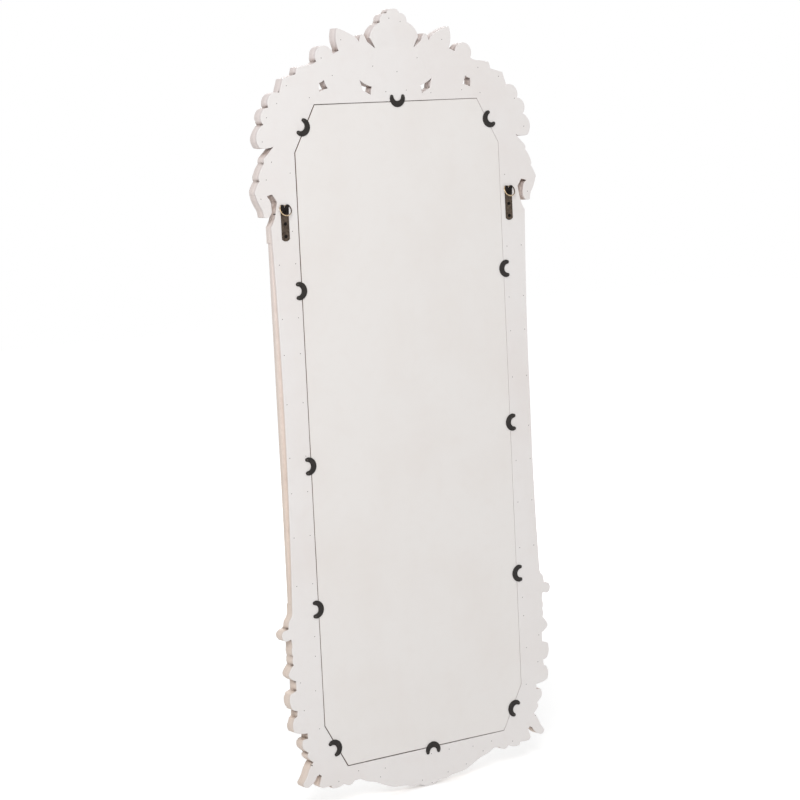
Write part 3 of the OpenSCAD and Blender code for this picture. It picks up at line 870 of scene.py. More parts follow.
@dataclass(frozen=True)
class Stroke:
    """One raised pass of the carver along a line, in millimetres, with its rise from the board.

    A vein is cut along its middle, and slanting cuts part it into lobes. The shares are of the
    half width for the vein, and of a lobe's length for the cuts.
    """

    spine: Pairs
    widths: Floats
    rises: Floats
    vein: float = 0.8
    lobes: int = 0
    steps: int = 8
    fullness: float = 2.6
    vein_share: float = 0.16
    cut: float = 0.75
    cut_share: float = 0.17
    cut_slant: float = 0.55
    cut_growth: float = 2.5

    def moved(self, dx: float, dz: float) -> Stroke:
        """The stroke moved by dx and dz."""
        return replace(self, spine=tuple((x + dx, z + dz) for x, z in self.spine))

    def mirrored(self) -> Stroke:
        """The stroke on the other side of X = 0."""
        return replace(self, spine=tuple((-x, z) for x, z in self.spine))

    def line(self) -> Array:
        """Points along a smooth line through the spine, in metres."""
        knots = np.array(self.spine) * MM
        padded = np.vstack([2 * knots[0] - knots[1], knots, 2 * knots[-1] - knots[-2]])
        t = (np.arange(self.steps) / self.steps)[:, None]
        runs = []
        for p, q, r, s in zip(padded, padded[1:], padded[2:], padded[3:]):
            square, cube = 2 * p - 5 * q + 4 * r - s, 3 * q - p - 3 * r + s
            runs.append(q + (r - p) * t / 2 + square * t**2 / 2 + cube * t**3 / 2)
        return np.vstack([*runs, knots[-1:]])

    def raise_in(self, points: Array, rise: Array, base: Array) -> None:
        """Raises the points that the stroke covers.

        Args:
            points: places in X and Z.
            rise: the rise at each, changed in place where the stroke stands higher.
            base: the rise of the ground at each.
        """
        line = self.line()
        reach = max(self.widths) * MM
        near = ((points > line.min(axis=0) - reach) & (points < line.max(axis=0) + reach)).all(axis=1)
        spots = points[near]
        best = np.full(len(spots), np.inf)
        along = np.zeros(len(spots))
        share = np.linspace(0, 1, len(line))
        for a, b, s, e in zip(line, line[1:], share, share[1:]):
            run = b - a
            t = np.clip(((spots - a) @ run) / max(run @ run, 1e-12), 0, 1)
            gap = np.hypot(*(spots - a - run * t[:, None]).T)
            closer = gap < best
            best[closer] = gap[closer]
            along[closer] = (s + (e - s) * t)[closer]
        width = np.interp(along, np.linspace(0, 1, len(self.widths)), self.widths) * MM
        top = np.interp(along, np.linspace(0, 1, len(self.rises)), self.rises) * MM
        q = np.clip(best / width, 0, 1)
        swell = np.sqrt(1 - q**self.fullness)
        made = base[near] + (top - base[near]) * swell
        made -= self.vein * MM * np.exp(-((q / self.vein_share) ** 2))
        if self.lobes:
            phase = (along * self.lobes - self.cut_slant * q + 0.5) % 1 - 0.5
            depth = self.cut * MM * np.exp(-((phase / self.cut_share) ** 2))
            made -= depth * np.clip(self.cut_growth * q, 0, 1) * swell
        rise[near] = np.where(q < 1, np.maximum(rise[near], made), rise[near])


@dataclass
class Relief:
    """A carved surface: a ground and strokes that rise from it, rounded off towards an outline.

    Rises are in metres from the board's face. Ground is bare where the strokes rise less than bare.
    """

    strokes: list[Stroke]
    ground: float
    edge: float
    edge_round: float
    bare: float = 0.8 * MM

    def base(self, points: Array) -> Array:
        """The ground's rise at each point."""
        return np.full(len(points), self.ground)

    def rise(self, points: Array, shore: Array) -> tuple[Array, Array]:
        """The carved surface.

        Args:
            points: places in X and Z.
            shore: the distance of each from the outline that is rounded off.

        Returns:
            The rise at each point, and how bare its ground is, from 0 to 1.
        """
        folded = np.c_[np.abs(points[:, 0]), points[:, 1]]
        base = self.base(folded)
        made = base.copy()
        for stroke in self.strokes:
            stroke.raise_in(folded, made, base)
        bare = np.clip(1 - (made - base) / self.bare, 0, 1)
        depth = np.clip(shore / self.edge_round, 0, 1)
        limit = self.edge + self.edge_round * np.sqrt(1 - (1 - depth) ** 2)
        return np.minimum(made, limit + np.maximum(shore - self.edge_round, 0)), bare


@dataclass
class StileRelief(Relief):
    """The stile's long profile: places across it in X, with the rise at each, eased at its angles."""

    across: Floats = ()
    rises: Floats = ()
    ease: float = 1.5 * MM

    def base(self, points: Array) -> Array:
        """The profile's rise at each point."""
        x = points[:, 0:1] + np.linspace(-self.ease, self.ease, 7)
        return np.interp(x, self.across, self.rises).mean(axis=1)


@dataclass
class CarvedPiece:
    """A piece with a carved front, a wall round its outline and a flat back.

    Rows of points follow the outline at shares of the edge's rounding. The wall's foot is set in. The
    painted shade of notches and slits thins out from there to the wall's top: soot_shares hold what is
    left of it halfway and at the top.
    A seam leaves a line of soot at its height.
    """

    name: str
    loops: list[Array]
    relief: Relief
    rear: float
    face: float
    grid: float = 1.5 * MM
    foot: float = 0.5 * MM
    band: float = 0.6 * MM
    rows: Pair = (0.25, 0.65)
    foot_wash: float = 0.15
    soot_shares: Pair = (0.35, 0.2)
    shore: Shore | None = None
    seams: Floats = ()
    seam_soot: float = 0.35
    seam_width: float = 1.2 * MM

    def build(self, material: bpy.types.Material) -> Thing:
        """Builds the piece.

        Args:
            material: what it is finished in.

        Returns:
            The mesh object.
        """
        own = Shore(self.loops)
        points = np.vstack([*self.loops, *self._free(own)])
        rim_count = sum(len(p) for p in self.loops)
        faces = triangulated(self.loops, points[rim_count:])
        rise, bare = self.relief.rise(points, (self.shore or own).distance(points))
        maker = MeshMaker()
        y = self.face - rise
        top = maker.add(level(points, y), hollow=hollows(faces, rise), ground=bare)
        maker.faces += top[faces].tolist()
        soles, start = [], 0
        for loop in self.loops:
            rim = slice(start, start + len(loop))
            # Painted shade on the wall: in notches and slits and where walls face each other; seams add dark
            # lines
            soot, wash = wall_marks(loop)
            for seam in self.seams:
                gap = (loop[:, 1] - seam) / self.seam_width
                soot = np.maximum(soot, self.seam_soot * np.exp(-(gap**2)))
            halfway, high = self.soot_shares
            bands = (
                (loop + inward(loop) * self.foot, self.rear, np.maximum(wash, self.foot_wash), soot),
                (loop, self.rear - self.band, wash, soot),
                (loop, (self.rear + y[rim]) / 2, wash, halfway * soot),
                (loop, y[rim] + self.band, wash, high * soot),
            )
            rings = [maker.add(level(p, at), hollow=a, notch=b, wall=1.0) for p, at, a, b in bands]
            maker.join([*rings, top[rim]])
            soles.append(rings[0])
            start += len(loop)
        maker.faces += np.concatenate(soles)[triangulated(self.loops)][:, ::-1].tolist()
        return maker.build(self.name, material, CARVED_SHADE)

    def _free(self, own: Shore) -> list[Array]:
        """Points inside the outline: rows beside it, and a grid over the rest."""
        depths = [share * self.relief.edge_round for share in self.rows]
        grid = grid_inside(self.loops, self.grid)
        sets = [grid[own.distance(grid) > depths[-1] + 0.45 * self.grid]]
        return sets + [inner_row(self.loops, own, depth, 0.9, 0.4 * self.grid) for depth in depths]


@dataclass
class Slab:
    """A flat piece whose rear edges are softened.

    The edge holds pairs of inset and depth below the rear, from the wall to the flat. The walls of the
    plain loops keep the face's finish, with painted shade on their ledges that look up. Those of the
    others are finished from the rim's depth on, and above it by edge_share.
    """

    name: str
    loops: list[Array]
    front: float
    rim: float
    edge: Pairs
    plain: tuple[int, ...] = ()
    edge_share: float = 0.0
    turn_share: float = 0.6

    def build(self, material: bpy.types.Material) -> Thing:
        """Builds the piece.

        Args:
            material: what it is finished in.

        Returns:
            The mesh object.
        """
        own = Shore(self.loops)
        rows = [inner_row(self.loops, own, inset, 0.93, 0.45 * MM) for inset, _ in self.edge[1:]]
        heights = [np.full(len(row), -depth) for row, (_, depth) in zip(rows, self.edge[1:])]
        shares = [np.full(len(row), self.edge_share if k == 0 else 0.0) for k, row in enumerate(rows)]
        lip = self.edge[0][1]
        rim_count = sum(len(p) for p in self.loops)
        maker = MeshMaker()
        points = np.vstack([*self.loops, *rows])
        shares = np.concatenate([np.full(rim_count, self.edge_share), *shares])
        rear = maker.add(level(points, np.concatenate([np.full(rim_count, -lip), *heights])), wall=shares)
        faces = triangulated(self.loops, points[rim_count:])
        maker.faces += rear[faces][:, ::-1].tolist()
        turn = -lip - self.turn_share * (self.rim - lip)
        bands = ((turn, self.edge_share), (-self.rim, 1.0), (self.front, 1.0))
        soles, start = [], 0
        for k, loop in enumerate(self.loops):
            # Painted shade on the wall: in notches and slits and where walls face each other
            soot, wash = wall_marks(loop)
            # Painted shade on the walls of the opening that face up
            ledge = LEDGE_SHADE * np.clip(-inward(loop)[:, 1], 0, 1)
            rings = [rear[start : start + len(loop)]]
            for y, wall in bands:
                if k in self.plain:
                    rings.append(maker.add(level(loop, y), hollow=wall * ledge))
                else:
                    marks = {"notch": wall * soot, "hollow": wall * wash, "wall": wall}
                    rings.append(maker.add(level(loop, y), **marks))
            maker.join(rings)
            soles.append(rings[-1])
            start += len(loop)
        maker.faces += np.concatenate(soles)[triangulated(self.loops)].tolist()
        return maker.build(self.name, material, FLAT_SHADE)


@dataclass(frozen=True)
class Petals:
    """The rule for a leaf from the nearest heart to each lobe of an outline, in millimetres.

    A lobe runs from notch to notch. Half widths are shares of the lobe's width.
    """

    notch: float = 0.5
    narrowest: float = 12.0
    widest: float = 95.0
    past_centre: float = 2.0
    longest: float = 90.0
    root_share: float = 0.8
    bend: float = 0.1
    tip_gap: float = 3.0
    width_shares: Floats = (0.2, 0.42, 0.56, 0.3)
    rises: Floats = (19.0, 23.5, 23.6, 21.5)
    vein: float = 1.1
    cut_pitch: float = 13.0

    def strokes(self, outline: Array, hearts: Array) -> list[Stroke]:
        """The leaves of the outline's right half.

        Args:
            outline: the coarse outline, in millimetres.
            hearts: the places that the leaves grow from.

        Returns:
            One stroke for each lobe.
        """
        notches = np.flatnonzero(turns(outline) < -self.notch)
        made = []
        for a, b in zip(notches, [*notches[1:], notches[0] + len(outline)]):
            run = outline[np.arange(a, b + 1) % len(outline)]
            chord = run[-1] - run[0]
            width = float(np.hypot(*chord))
            middle = (run[0] + run[-1]) / 2
            if not self.narrowest < width < self.widest or middle[0] < -self.past_centre:
                continue
            off = (run - run[0]) @ np.array([chord[1], -chord[0]]) / width
            tip = run[int(np.argmax(off))]
            heart = hearts[int(np.argmin(np.hypot(*(hearts - middle).T)))]
            reach = heart - middle
            root = middle + reach * min(self.root_share, self.longest / max(float(np.hypot(*reach)), 1.0))
            bend = (root + middle) / 2 + self.bend * np.array([-reach[1], reach[0]])
            back = min(1.0, self.tip_gap / max(float(np.hypot(*(middle - tip))), 1.0))
            end = tip + (middle - tip) * back
            length = float(np.hypot(*(end - root)))
            spine = tuple((float(x), float(z)) for x, z in (root, bend, middle, end))
            widths = tuple(share * width for share in self.width_shares)
            cuts = max(2, round(length / self.cut_pitch))
            made.append(Stroke(spine, widths, self.rises, self.vein, cuts))
        return made


# Repeated pieces


class GeometryTree(Nodes):
    """A geometry node tree with named inputs, used on an object and then made plain mesh."""

    def __init__(self, name: str, inputs: dict[str, str]) -> None:
        """Starts a tree with a geometry input and output and the named inputs."""
        super().__init__(bpy.data.node_groups.new(name, "GeometryNodeTree"))
        for key, kind in {"Geometry": "Geometry", **inputs}.items():
            self.tree.interface.new_socket(key, in_out="INPUT", socket_type=f"NodeSocket{kind}")
        self.tree.interface.new_socket("Geometry", in_out="OUTPUT", socket_type="NodeSocketGeometry")
        self.given = self.node("NodeGroupInput").outputs
        self.made = self.node("NodeGroupOutput").inputs["Geometry"]

    def close(self, geometry: Socket) -> None:
        """Ends the tree: instances made real, in the given material."""
        real = self.node("GeometryNodeRealizeInstances", Geometry=geometry).outputs[0]
        dressed = self.node("GeometryNodeSetMaterial", Geometry=real, Material=self.given["Material"])
        self.put(self.made, dressed.outputs[0])

    def apply(self, thing: Thing, **values: object) -> Thing:
        """Runs the tree on an object and leaves plain mesh."""
        modifier = thing.modifiers.new(self.tree.name, "NODES")
        modifier.node_group = self.tree
        for item in self.tree.interface.items_tree:
            if item.in_out == "INPUT" and item.name in values:
                modifier[item.identifier] = values[item.name]
        return evaluated(thing)


class ScatterTree(GeometryTree):
    """Puts a copy of the prototype on each point, turned about Y by the point's turn."""

    def __init__(self) -> None:
        """Builds the tree."""
        super().__init__("Scatter", {"Prototype": "Object", "Material": "Material"})
        pattern = self.node("GeometryNodeObjectInfo", Object=self.given["Prototype"])
        turn = self.node("GeometryNodeInputNamedAttribute", {"data_type": "FLOAT"}, Name="turn")
        spin = self.node("ShaderNodeCombineXYZ", Y=turn.outputs["Attribute"])
        copies = self.node(
            "GeometryNodeInstanceOnPoints", Points=self.given["Geometry"],
            Instance=pattern.outputs["Geometry"], Rotation=spin.outputs[0],
        )
        self.close(copies.outputs[0])

    def place(
        self, name: str, pattern: MeshMaker, spots: list[Floats], material: bpy.types.Material
    ) -> Thing:
        """Copies a pattern to every spot.

        Args:
            name: the new object's name.
            pattern: the piece, around the origin.
            spots: X, Y, Z and turn of each copy.
            material: what the copies are finished in.

        Returns:
            One object with all the copies.
        """
        prototype = pattern.build(name + "_pattern", material, PATTERN_SHADE)
        mesh = bpy.data.meshes.new(name)
        mesh.from_pydata([spot[:3] for spot in spots], [], [])
        layer = mesh.attributes.new("turn", "FLOAT", "POINT")
        layer.data.foreach_set("value", [spot[3] for spot in spots])
        thing = bpy.data.objects.new(name, mesh)
        bpy.context.scene.collection.objects.link(thing)
        self.apply(thing, Prototype=prototype, Material=material)
        bpy.data.objects.remove(prototype)
        return thing


class RowTree(GeometryTree):
    """Adds a straight row of beads to a piece, with the wash at each bead's foot."""

    def __init__(self) -> None:
        """Builds the tree."""
        sizes = {"Start": "Vector", "End": "Vector", "Pitch": "Float", "Size": "Vector"}
        super().__init__("BeadRow", {**sizes, "Material": "Material"})
        line = self.node("GeometryNodeCurvePrimitiveLine", Start=self.given["Start"], End=self.given["End"])
        row = self.node("GeometryNodeResampleCurve", {"mode": "LENGTH"}, Curve=line.outputs[0])
        self.put(row.inputs["Length"], self.given["Pitch"])
        ball = self.node("GeometryNodeMeshUVSphere", Segments=12, Rings=8, Radius=1.0)
        height = self.axis(self.node("GeometryNodeInputPosition").outputs[0], "Y")
        painted = self.node(
            "GeometryNodeStoreNamedAttribute", {"data_type": "FLOAT", "domain": "POINT"},
            Geometry=ball.outputs["Mesh"], Name="hollow", Value=self.span(height, -0.1, 0.5),
        )
        smooth = self.node("GeometryNodeSetShadeSmooth", Geometry=painted.outputs[0]).outputs[0]
        bead = self.node("GeometryNodeTransform", Geometry=smooth, Scale=self.given["Size"])
        copies = self.node("GeometryNodeInstanceOnPoints", Points=row.outputs[0], Instance=bead.outputs[0])
        joined = self.node("GeometryNodeJoinGeometry", Geometry=self.given["Geometry"])
        self.put(joined.inputs[0], copies.outputs[0])
        self.close(joined.outputs[0])


# Sub-assemblies


@dataclass(frozen=True)
class Site:
    """Reference lines of the mirror, in millimetres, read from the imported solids."""

    low: float
    high: float
    board_y: float

    def end(self, upper: bool) -> float:
        """The opening's top or lower edge."""
        return self.high if upper else self.low

    @classmethod
    def read(cls, panel_gap: float = 1.5) -> Site:
        """Reads the lines: panel_gap lies between the panel and the opening."""
        panel_low, panel_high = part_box("backing_panel")
        board_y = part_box("back_board")[0].y / MM
        return cls(panel_low.z / MM - panel_gap, panel_high.z / MM + panel_gap, board_y)


class Workshop:
    """What the sub-assemblies are built from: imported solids, reference lines, finishes and trees."""

    def __init__(self, nodes: dict[str, Thing], edge_step: float = 1.5 * MM) -> None:
        """Reads the reference lines and builds the finishes.

        Args:
            nodes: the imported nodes, by name.
            edge_step: the most that two points of an outline lie apart.
        """
        self.nodes = nodes
        self.site = Site.read()
        self.board_y = self.site.board_y * MM
        self.materials = Finishes().materials()
        self.carved = self.materials[CARVED]
        self.scatter = ScatterTree()
        self.rows = RowTree()
        self.edge_step = edge_step
        board = self.outlines("back_board", 0.0)
        self.outline = self.solid("back_board").outlines(0.0)[0] / MM
        self.shore = Shore([board[0], *board[2:]])

    def solid(self, name: str) -> PackedNode:
        """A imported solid."""
        return PackedNode(self.nodes[name])

    def outlines(self, name: str, height: float) -> list[Array]:
        """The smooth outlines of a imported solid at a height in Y."""
        return [rounded(p, self.edge_step) for p in self.solid(name).outlines(height)]

    def carve(self, piece: CarvedPiece, node: str) -> None:
        """Builds a carved piece and puts it on the frame."""
        self.finish(piece.build(self.carved), CARVED, node)

    def finish(self, thing: Thing, slot: str, *nodes: str, body: str = BODY) -> None:
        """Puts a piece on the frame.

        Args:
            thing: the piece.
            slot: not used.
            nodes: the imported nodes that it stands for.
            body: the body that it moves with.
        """
        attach(thing, body)
        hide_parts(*nodes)
        triangles = sum(len(p.vertices) - 2 for p in thing.data.polygons)
        log.info("%s: %d triangles, stands for %s", thing.name, triangles, ", ".join(nodes))


@dataclass
class Carcass:
    """The back board, the panel in its opening and the glass before it.

    The rear edges are softened: edge holds shares of soft, inwards and below the rear. Paint leaves a
    gap of uneven width round the panel: seen_gaps holds pairs of the direction from the panel's middle,
    in degrees from +X towards +Z, and the gap that is left there, in millimetres.
    """

    soft: float = 0.8 * MM
    edge: Pairs = ((0.0, 1.0), (0.3, 0.3), (1.0, 0.0), (1.5, 0.0))
    rim: float = 2.6 * MM
    panel_rim: float = 0.9 * MM
    # How much of the panel's dark edge colour its softened rear rim takes: painted shade of the gap round the
    # panel
    panel_dust: float = 0.7
    gap: float = 1.5 * MM
    waver: float = 0.15 * MM
    waver_lengths: Pair = (43 * MM, 19 * MM)
    seen_gaps: Pairs = (
        (0, 1.1), (30, 1.12), (60, 1.5), (71, 1.9), (80, 1.2), (90, 1.35), (100, 0.9), (109, 0.6),
        (120, 0.6), (180, 0.5), (240, 0.6), (251, 1.0), (258, 1.6), (270, 2.1), (282, 2.25), (289, 1.8),
        (298, 0.95), (330, 1.1), (360, 1.1),
    )

    def build(self, shop: Workshop) -> None:
        """Builds the board and the panel, and gives the glass its finish. The board's opening is its second
        loop, painted like its face.

        Args:
            shop: what they are built from.
        """
        edge = tuple((inset * self.soft, depth * self.soft) for inset, depth in self.edge)
        board = Slab(
            "back_board_piece", shop.outlines("back_board", 0.0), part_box("back_board")[0].y, self.rim, edge,
            plain=(1,),
        )
        loops = [self.bridged(loop) for loop in shop.outlines("backing_panel", 0.0)]
        panel = Slab(
            "backing_panel_piece", loops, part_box("backing_panel")[0].y, self.panel_rim, edge,
            edge_share=self.panel_dust,
        )
        for slab, slot in ((board, "back_paint"), (panel, "panel_paint")):
            shop.finish(slab.build(shop.materials[slot]), slot, slab.name.removesuffix("_piece"))
        glass = shop.nodes["mirror_glass"]
        glass.data.materials.clear()
        glass.data.materials.append(shop.materials["silvered_glass"])

    def bridged(self, loop: Array) -> Array:
        """The panel's edge with its paint, which fills the gap unevenly."""
        off = loop - (loop.min(axis=0) + loop.max(axis=0)) / 2
        turn = np.degrees(np.arctan2(off[:, 1], off[:, 0])) % 360
        seen = np.interp(turn, *np.array(self.seen_gaps).T) * MM
        along = np.cumsum(np.hypot(*(loop - np.roll(loop, 1, axis=0)).T))
        long, short = (np.sin(along / length) for length in self.waver_lengths)
        return loop - inward(loop) * (self.gap - seen - self.waver * long * short)[:, None]


# Places that leaves grow from, from the centre line and the opening's top or lower edge
UPPER_HEARTS = ((0, 110), (116, 74), (141, 34), (246, 42), (316, -88))
LOWER_HEARTS = ((316, 128), (250, -24), (0, -24))
# Half widths along a stroke
BRANCH = (8, 7, 6, 4)
BROAD_CURL = (3, 8, 6, 2.5)
CURL = (3, 7, 6, 2.5)
SLIM_CURL = (3, 6, 5, 2.5)
KNOB = (4, 5, 4, 3.5)
# Rises along a stroke
BRANCH_RISE = (25, 24, 23, 20)
HIGH = (19, 23, 22, 20)
LOW = (19, 22, 22, 19)
KNOB_RISE = (20, 22, 22, 21)
UPPER_STEMS = (
    Stroke(((0, 36), (34, 50), (70, 66), (102, 68), (129, 55)), (5, 9, 6), (20, 25, 24)),
    Stroke(((162, 22), (172, 8), (196, 6), (226, 14), (257, 23)), (5, 7, 5), (20, 24.5, 24)),
    Stroke(((128, 80), (160, 86), (196, 74), (225, 50)), (5, 8, 5), (21, 25, 23)),
    Stroke(((257, 23), (284, 2), (300, -40), (316, -88)), (5, 9, 8), (22, 25, 25)),
    Stroke(((270, 14), (268, -8), (280, -26), (294, -30), (296, -44)), (3, 6, 5, 3), (19, 23, 23, 20)),
    Stroke(((286, -2), (276, -30), (284, -58), (300, -70)), CURL, LOW, 0.8, 4),
    Stroke(((0, 36), (0, 70), (0, 110)), (7, 5), (24, 25)),
    Stroke(((34, 50), (54, 80), (52, 112), (64, 135)), (4, 7, 4), (20, 24, 21)),
    Stroke(((20, 44), (28, 30), (46, 22), (60, 24)), SLIM_CURL, LOW, 0.8, 4),
    Stroke(((108, 68), (120, 62), (118, 46), (106, 42)), SLIM_CURL, HIGH, 0.8, 4),
    Stroke(((226, 14), (214, 6), (216, -2), (228, -2)), SLIM_CURL, LOW, 0.8, 3),
    Stroke(((316, -88), (308, -128), (318, -168), (306, -206), (316, -244), (306, -276)), BRANCH,
           BRANCH_RISE),
    Stroke(((309, -120), (296, -138), (298, -164), (308, -172)), BROAD_CURL, HIGH, 0.9, 4),
    Stroke(((316, -160), (330, -172), (334, -196), (326, -210)), BROAD_CURL, HIGH, 0.9, 4),
    Stroke(((308, -200), (296, -212), (296, -234), (304, -246)), CURL, LOW, 0.9, 4),
    Stroke(((315, -238), (330, -246), (334, -266), (326, -282)), BROAD_CURL, LOW, 0.9, 4),
    Stroke(((306, -270), (300, -280), (306, -292), (314, -286), (310, -278)), KNOB, KNOB_RISE),
)
LOWER_STEMS = (
    Stroke(((316, 128), (304, 176), (316, 228), (304, 278), (314, 326), (306, 362)), BRANCH, BRANCH_RISE),
    Stroke(((305, 180), (296, 200), (298, 224), (308, 236)), BROAD_CURL, HIGH, 0.9, 4),
    Stroke(((315, 236), (328, 250), (330, 272), (322, 288)), BROAD_CURL, HIGH, 0.9, 4),
    Stroke(((305, 284), (296, 298), (296, 320), (304, 334)), CURL, LOW, 0.9, 4),
    Stroke(((313, 322), (328, 330), (334, 352), (328, 372)), BROAD_CURL, LOW, 0.9, 4),
    Stroke(((306, 356), (300, 368), (306, 380), (314, 374), (311, 366)), KNOB, KNOB_RISE),
    Stroke(((316, 128), (304, 92), (308, 58), (288, 24), (262, -24)), BRANCH, (25, 24, 24, 22)),
    Stroke(((305, 84), (290, 70), (284, 46), (290, 30)), CURL, LOW, 0.8, 4),
    Stroke(((300, 44), (316, 34), (318, 14), (308, 4)), CURL, HIGH, 0.8, 4),
    Stroke(((250, -24), (190, -22), (120, -34), (60, -40), (14, -34)), (5, 9, 5), (21, 25, 22)),
    Stroke(((44, -48), (52, -60), (70, -64), (84, -60)), CURL, LOW, 0.8, 4),
    Stroke(((88, -44), (96, -56), (114, -58), (128, -52)), CURL, LOW, 0.8, 4),
    Stroke(((132, -36), (142, -46), (160, -44), (172, -36)), SLIM_CURL, LOW, 0.8, 4),
    Stroke(((24, -52), (30, -66), (26, -76), (16, -78)), (3, 6, 5, 3), (19, 22, 22, 20), 0.8, 3),
    Stroke(((150, -26), (136, -18), (118, -16), (104, -20)), SLIM_CURL, LOW, 0.8, 4),
    Stroke(((96, -32), (82, -22), (62, -20), (48, -24)), SLIM_CURL, LOW, 0.8, 4),
)


@dataclass
class Carving:
    """The carved layer: crest, shoulders, lower corners, apron and the two stiles.

    A stile has a flat ridge and a slope along each edge: inner_ridge and outer_ridge hold where the
    flat and the slope end, in millimetres from the edge, and stile_rises holds the rise of both ridges
    and of the floor between them, from the inner edge to the outer one.
    """

    ground: float = 16 * MM
    edge: float = 20 * MM
    edge_round: float = 3.5 * MM
    stile_floor: float = 11 * MM
    stile_round: float = 1.5 * MM
    inner_ridge: Pair = (4, 12)
    outer_ridge: Pair = (18, 22)
    stile_rises: Floats = (17, 17, 11, 11, 13, 13)
    husk_pitch: float = 38.0
    husk_start: float = 5.0
    husk: Stroke = Stroke(((0, 0), (0, 14), (0, 27)), (3.5, 8, 2), (13, 16.5, 14), 1.0, 3)
    husk_leaf: Stroke = Stroke(((0, 3), (5, 12), (9, 18)), (2.5, 3.6, 1.6), (12.5, 14.5, 13), 0.5)
    plates: tuple[str, ...] = (
        "crest_carving", "shoulder_carving_left", "shoulder_carving_right",
        "corner_carving_left", "corner_carving_right", "apron_carving",
    )

    def build(self, shop: Workshop) -> None:
        """Builds the carved plates and the stiles.

        Args:
            shop: what they are built from.
        """
        relief = Relief(self.strokes(shop), self.ground, self.edge, self.edge_round)
        seams = tuple(corner.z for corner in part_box("stile_right"))
        for name in self.plates:
            loops = shop.outlines(name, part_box(name)[0].y)
            piece = CarvedPiece(
                name + "_piece", loops, relief, shop.board_y, shop.board_y, shore=shop.shore, seams=seams
            )
            shop.carve(piece, name)
        for side in Side:
            self.stile(shop, side)

    def strokes(self, shop: Workshop) -> list[Stroke]:
        """The leaves and stems of both ends."""
        ends = ((shop.site.high, UPPER_HEARTS, UPPER_STEMS), (shop.site.low, LOWER_HEARTS, LOWER_STEMS))
        hearts = [(x, z + height) for height, places, _ in ends for x, z in places]
        made = Petals().strokes(shop.outline, np.array(hearts, float))
        return made + [stem.moved(0, height) for height, _, stems in ends for stem in stems]

    def stile(self, shop: Workshop, side: Side) -> None:
        """Builds a stile: a moulded rail with a chain of husks down its middle.

        Args:
            shop: what it is built from.
            side: the half that it stands on.
        """
        name = "stile_" + side.word
        low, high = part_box(name)
        inner, outer = sorted(abs(x) for x in (low.x, high.x))
        corners = ((low.x, low.z), (high.x, low.z), (high.x, high.z), (low.x, high.z))
        loop = rounded(np.array(corners), shop.edge_step)
        width = outer / MM - inner / MM
        offsets = (0, *self.inner_ridge, *(width - x for x in self.outer_ridge[::-1]), width)
        relief = StileRelief(
            self.husks(inner / MM + (offsets[2] + offsets[3]) / 2, low.z / MM, high.z / MM),
            self.stile_floor, self.stile_floor, self.stile_round,
            across=tuple(inner + x * MM for x in offsets), rises=tuple(x * MM for x in self.stile_rises),
        )
        edge = np.array([(side.value * outer, low.z), (side.value * outer, high.z)])
        shore = Shore([rounded(np.vstack([edge, edge[::-1] + [[1e-4 * side.value, 0]]]), shop.edge_step)])
        piece = CarvedPiece(name + "_piece", [loop], relief, shop.board_y, shop.board_y, shore=shore)
        shop.carve(piece, name)

    def husks(self, x: float, low: float, high: float) -> list[Stroke]:
        """The chain of husks with their leaves, in millimetres, at x and from low to high."""
        count = round((high - low) / self.husk_pitch)
        forms = (self.husk, self.husk_leaf.mirrored(), self.husk_leaf)
        heights = [low + k * (high - low) / count + self.husk_start for k in range(count)]
        return [form.moved(x, z) for z in heights for form in forms]


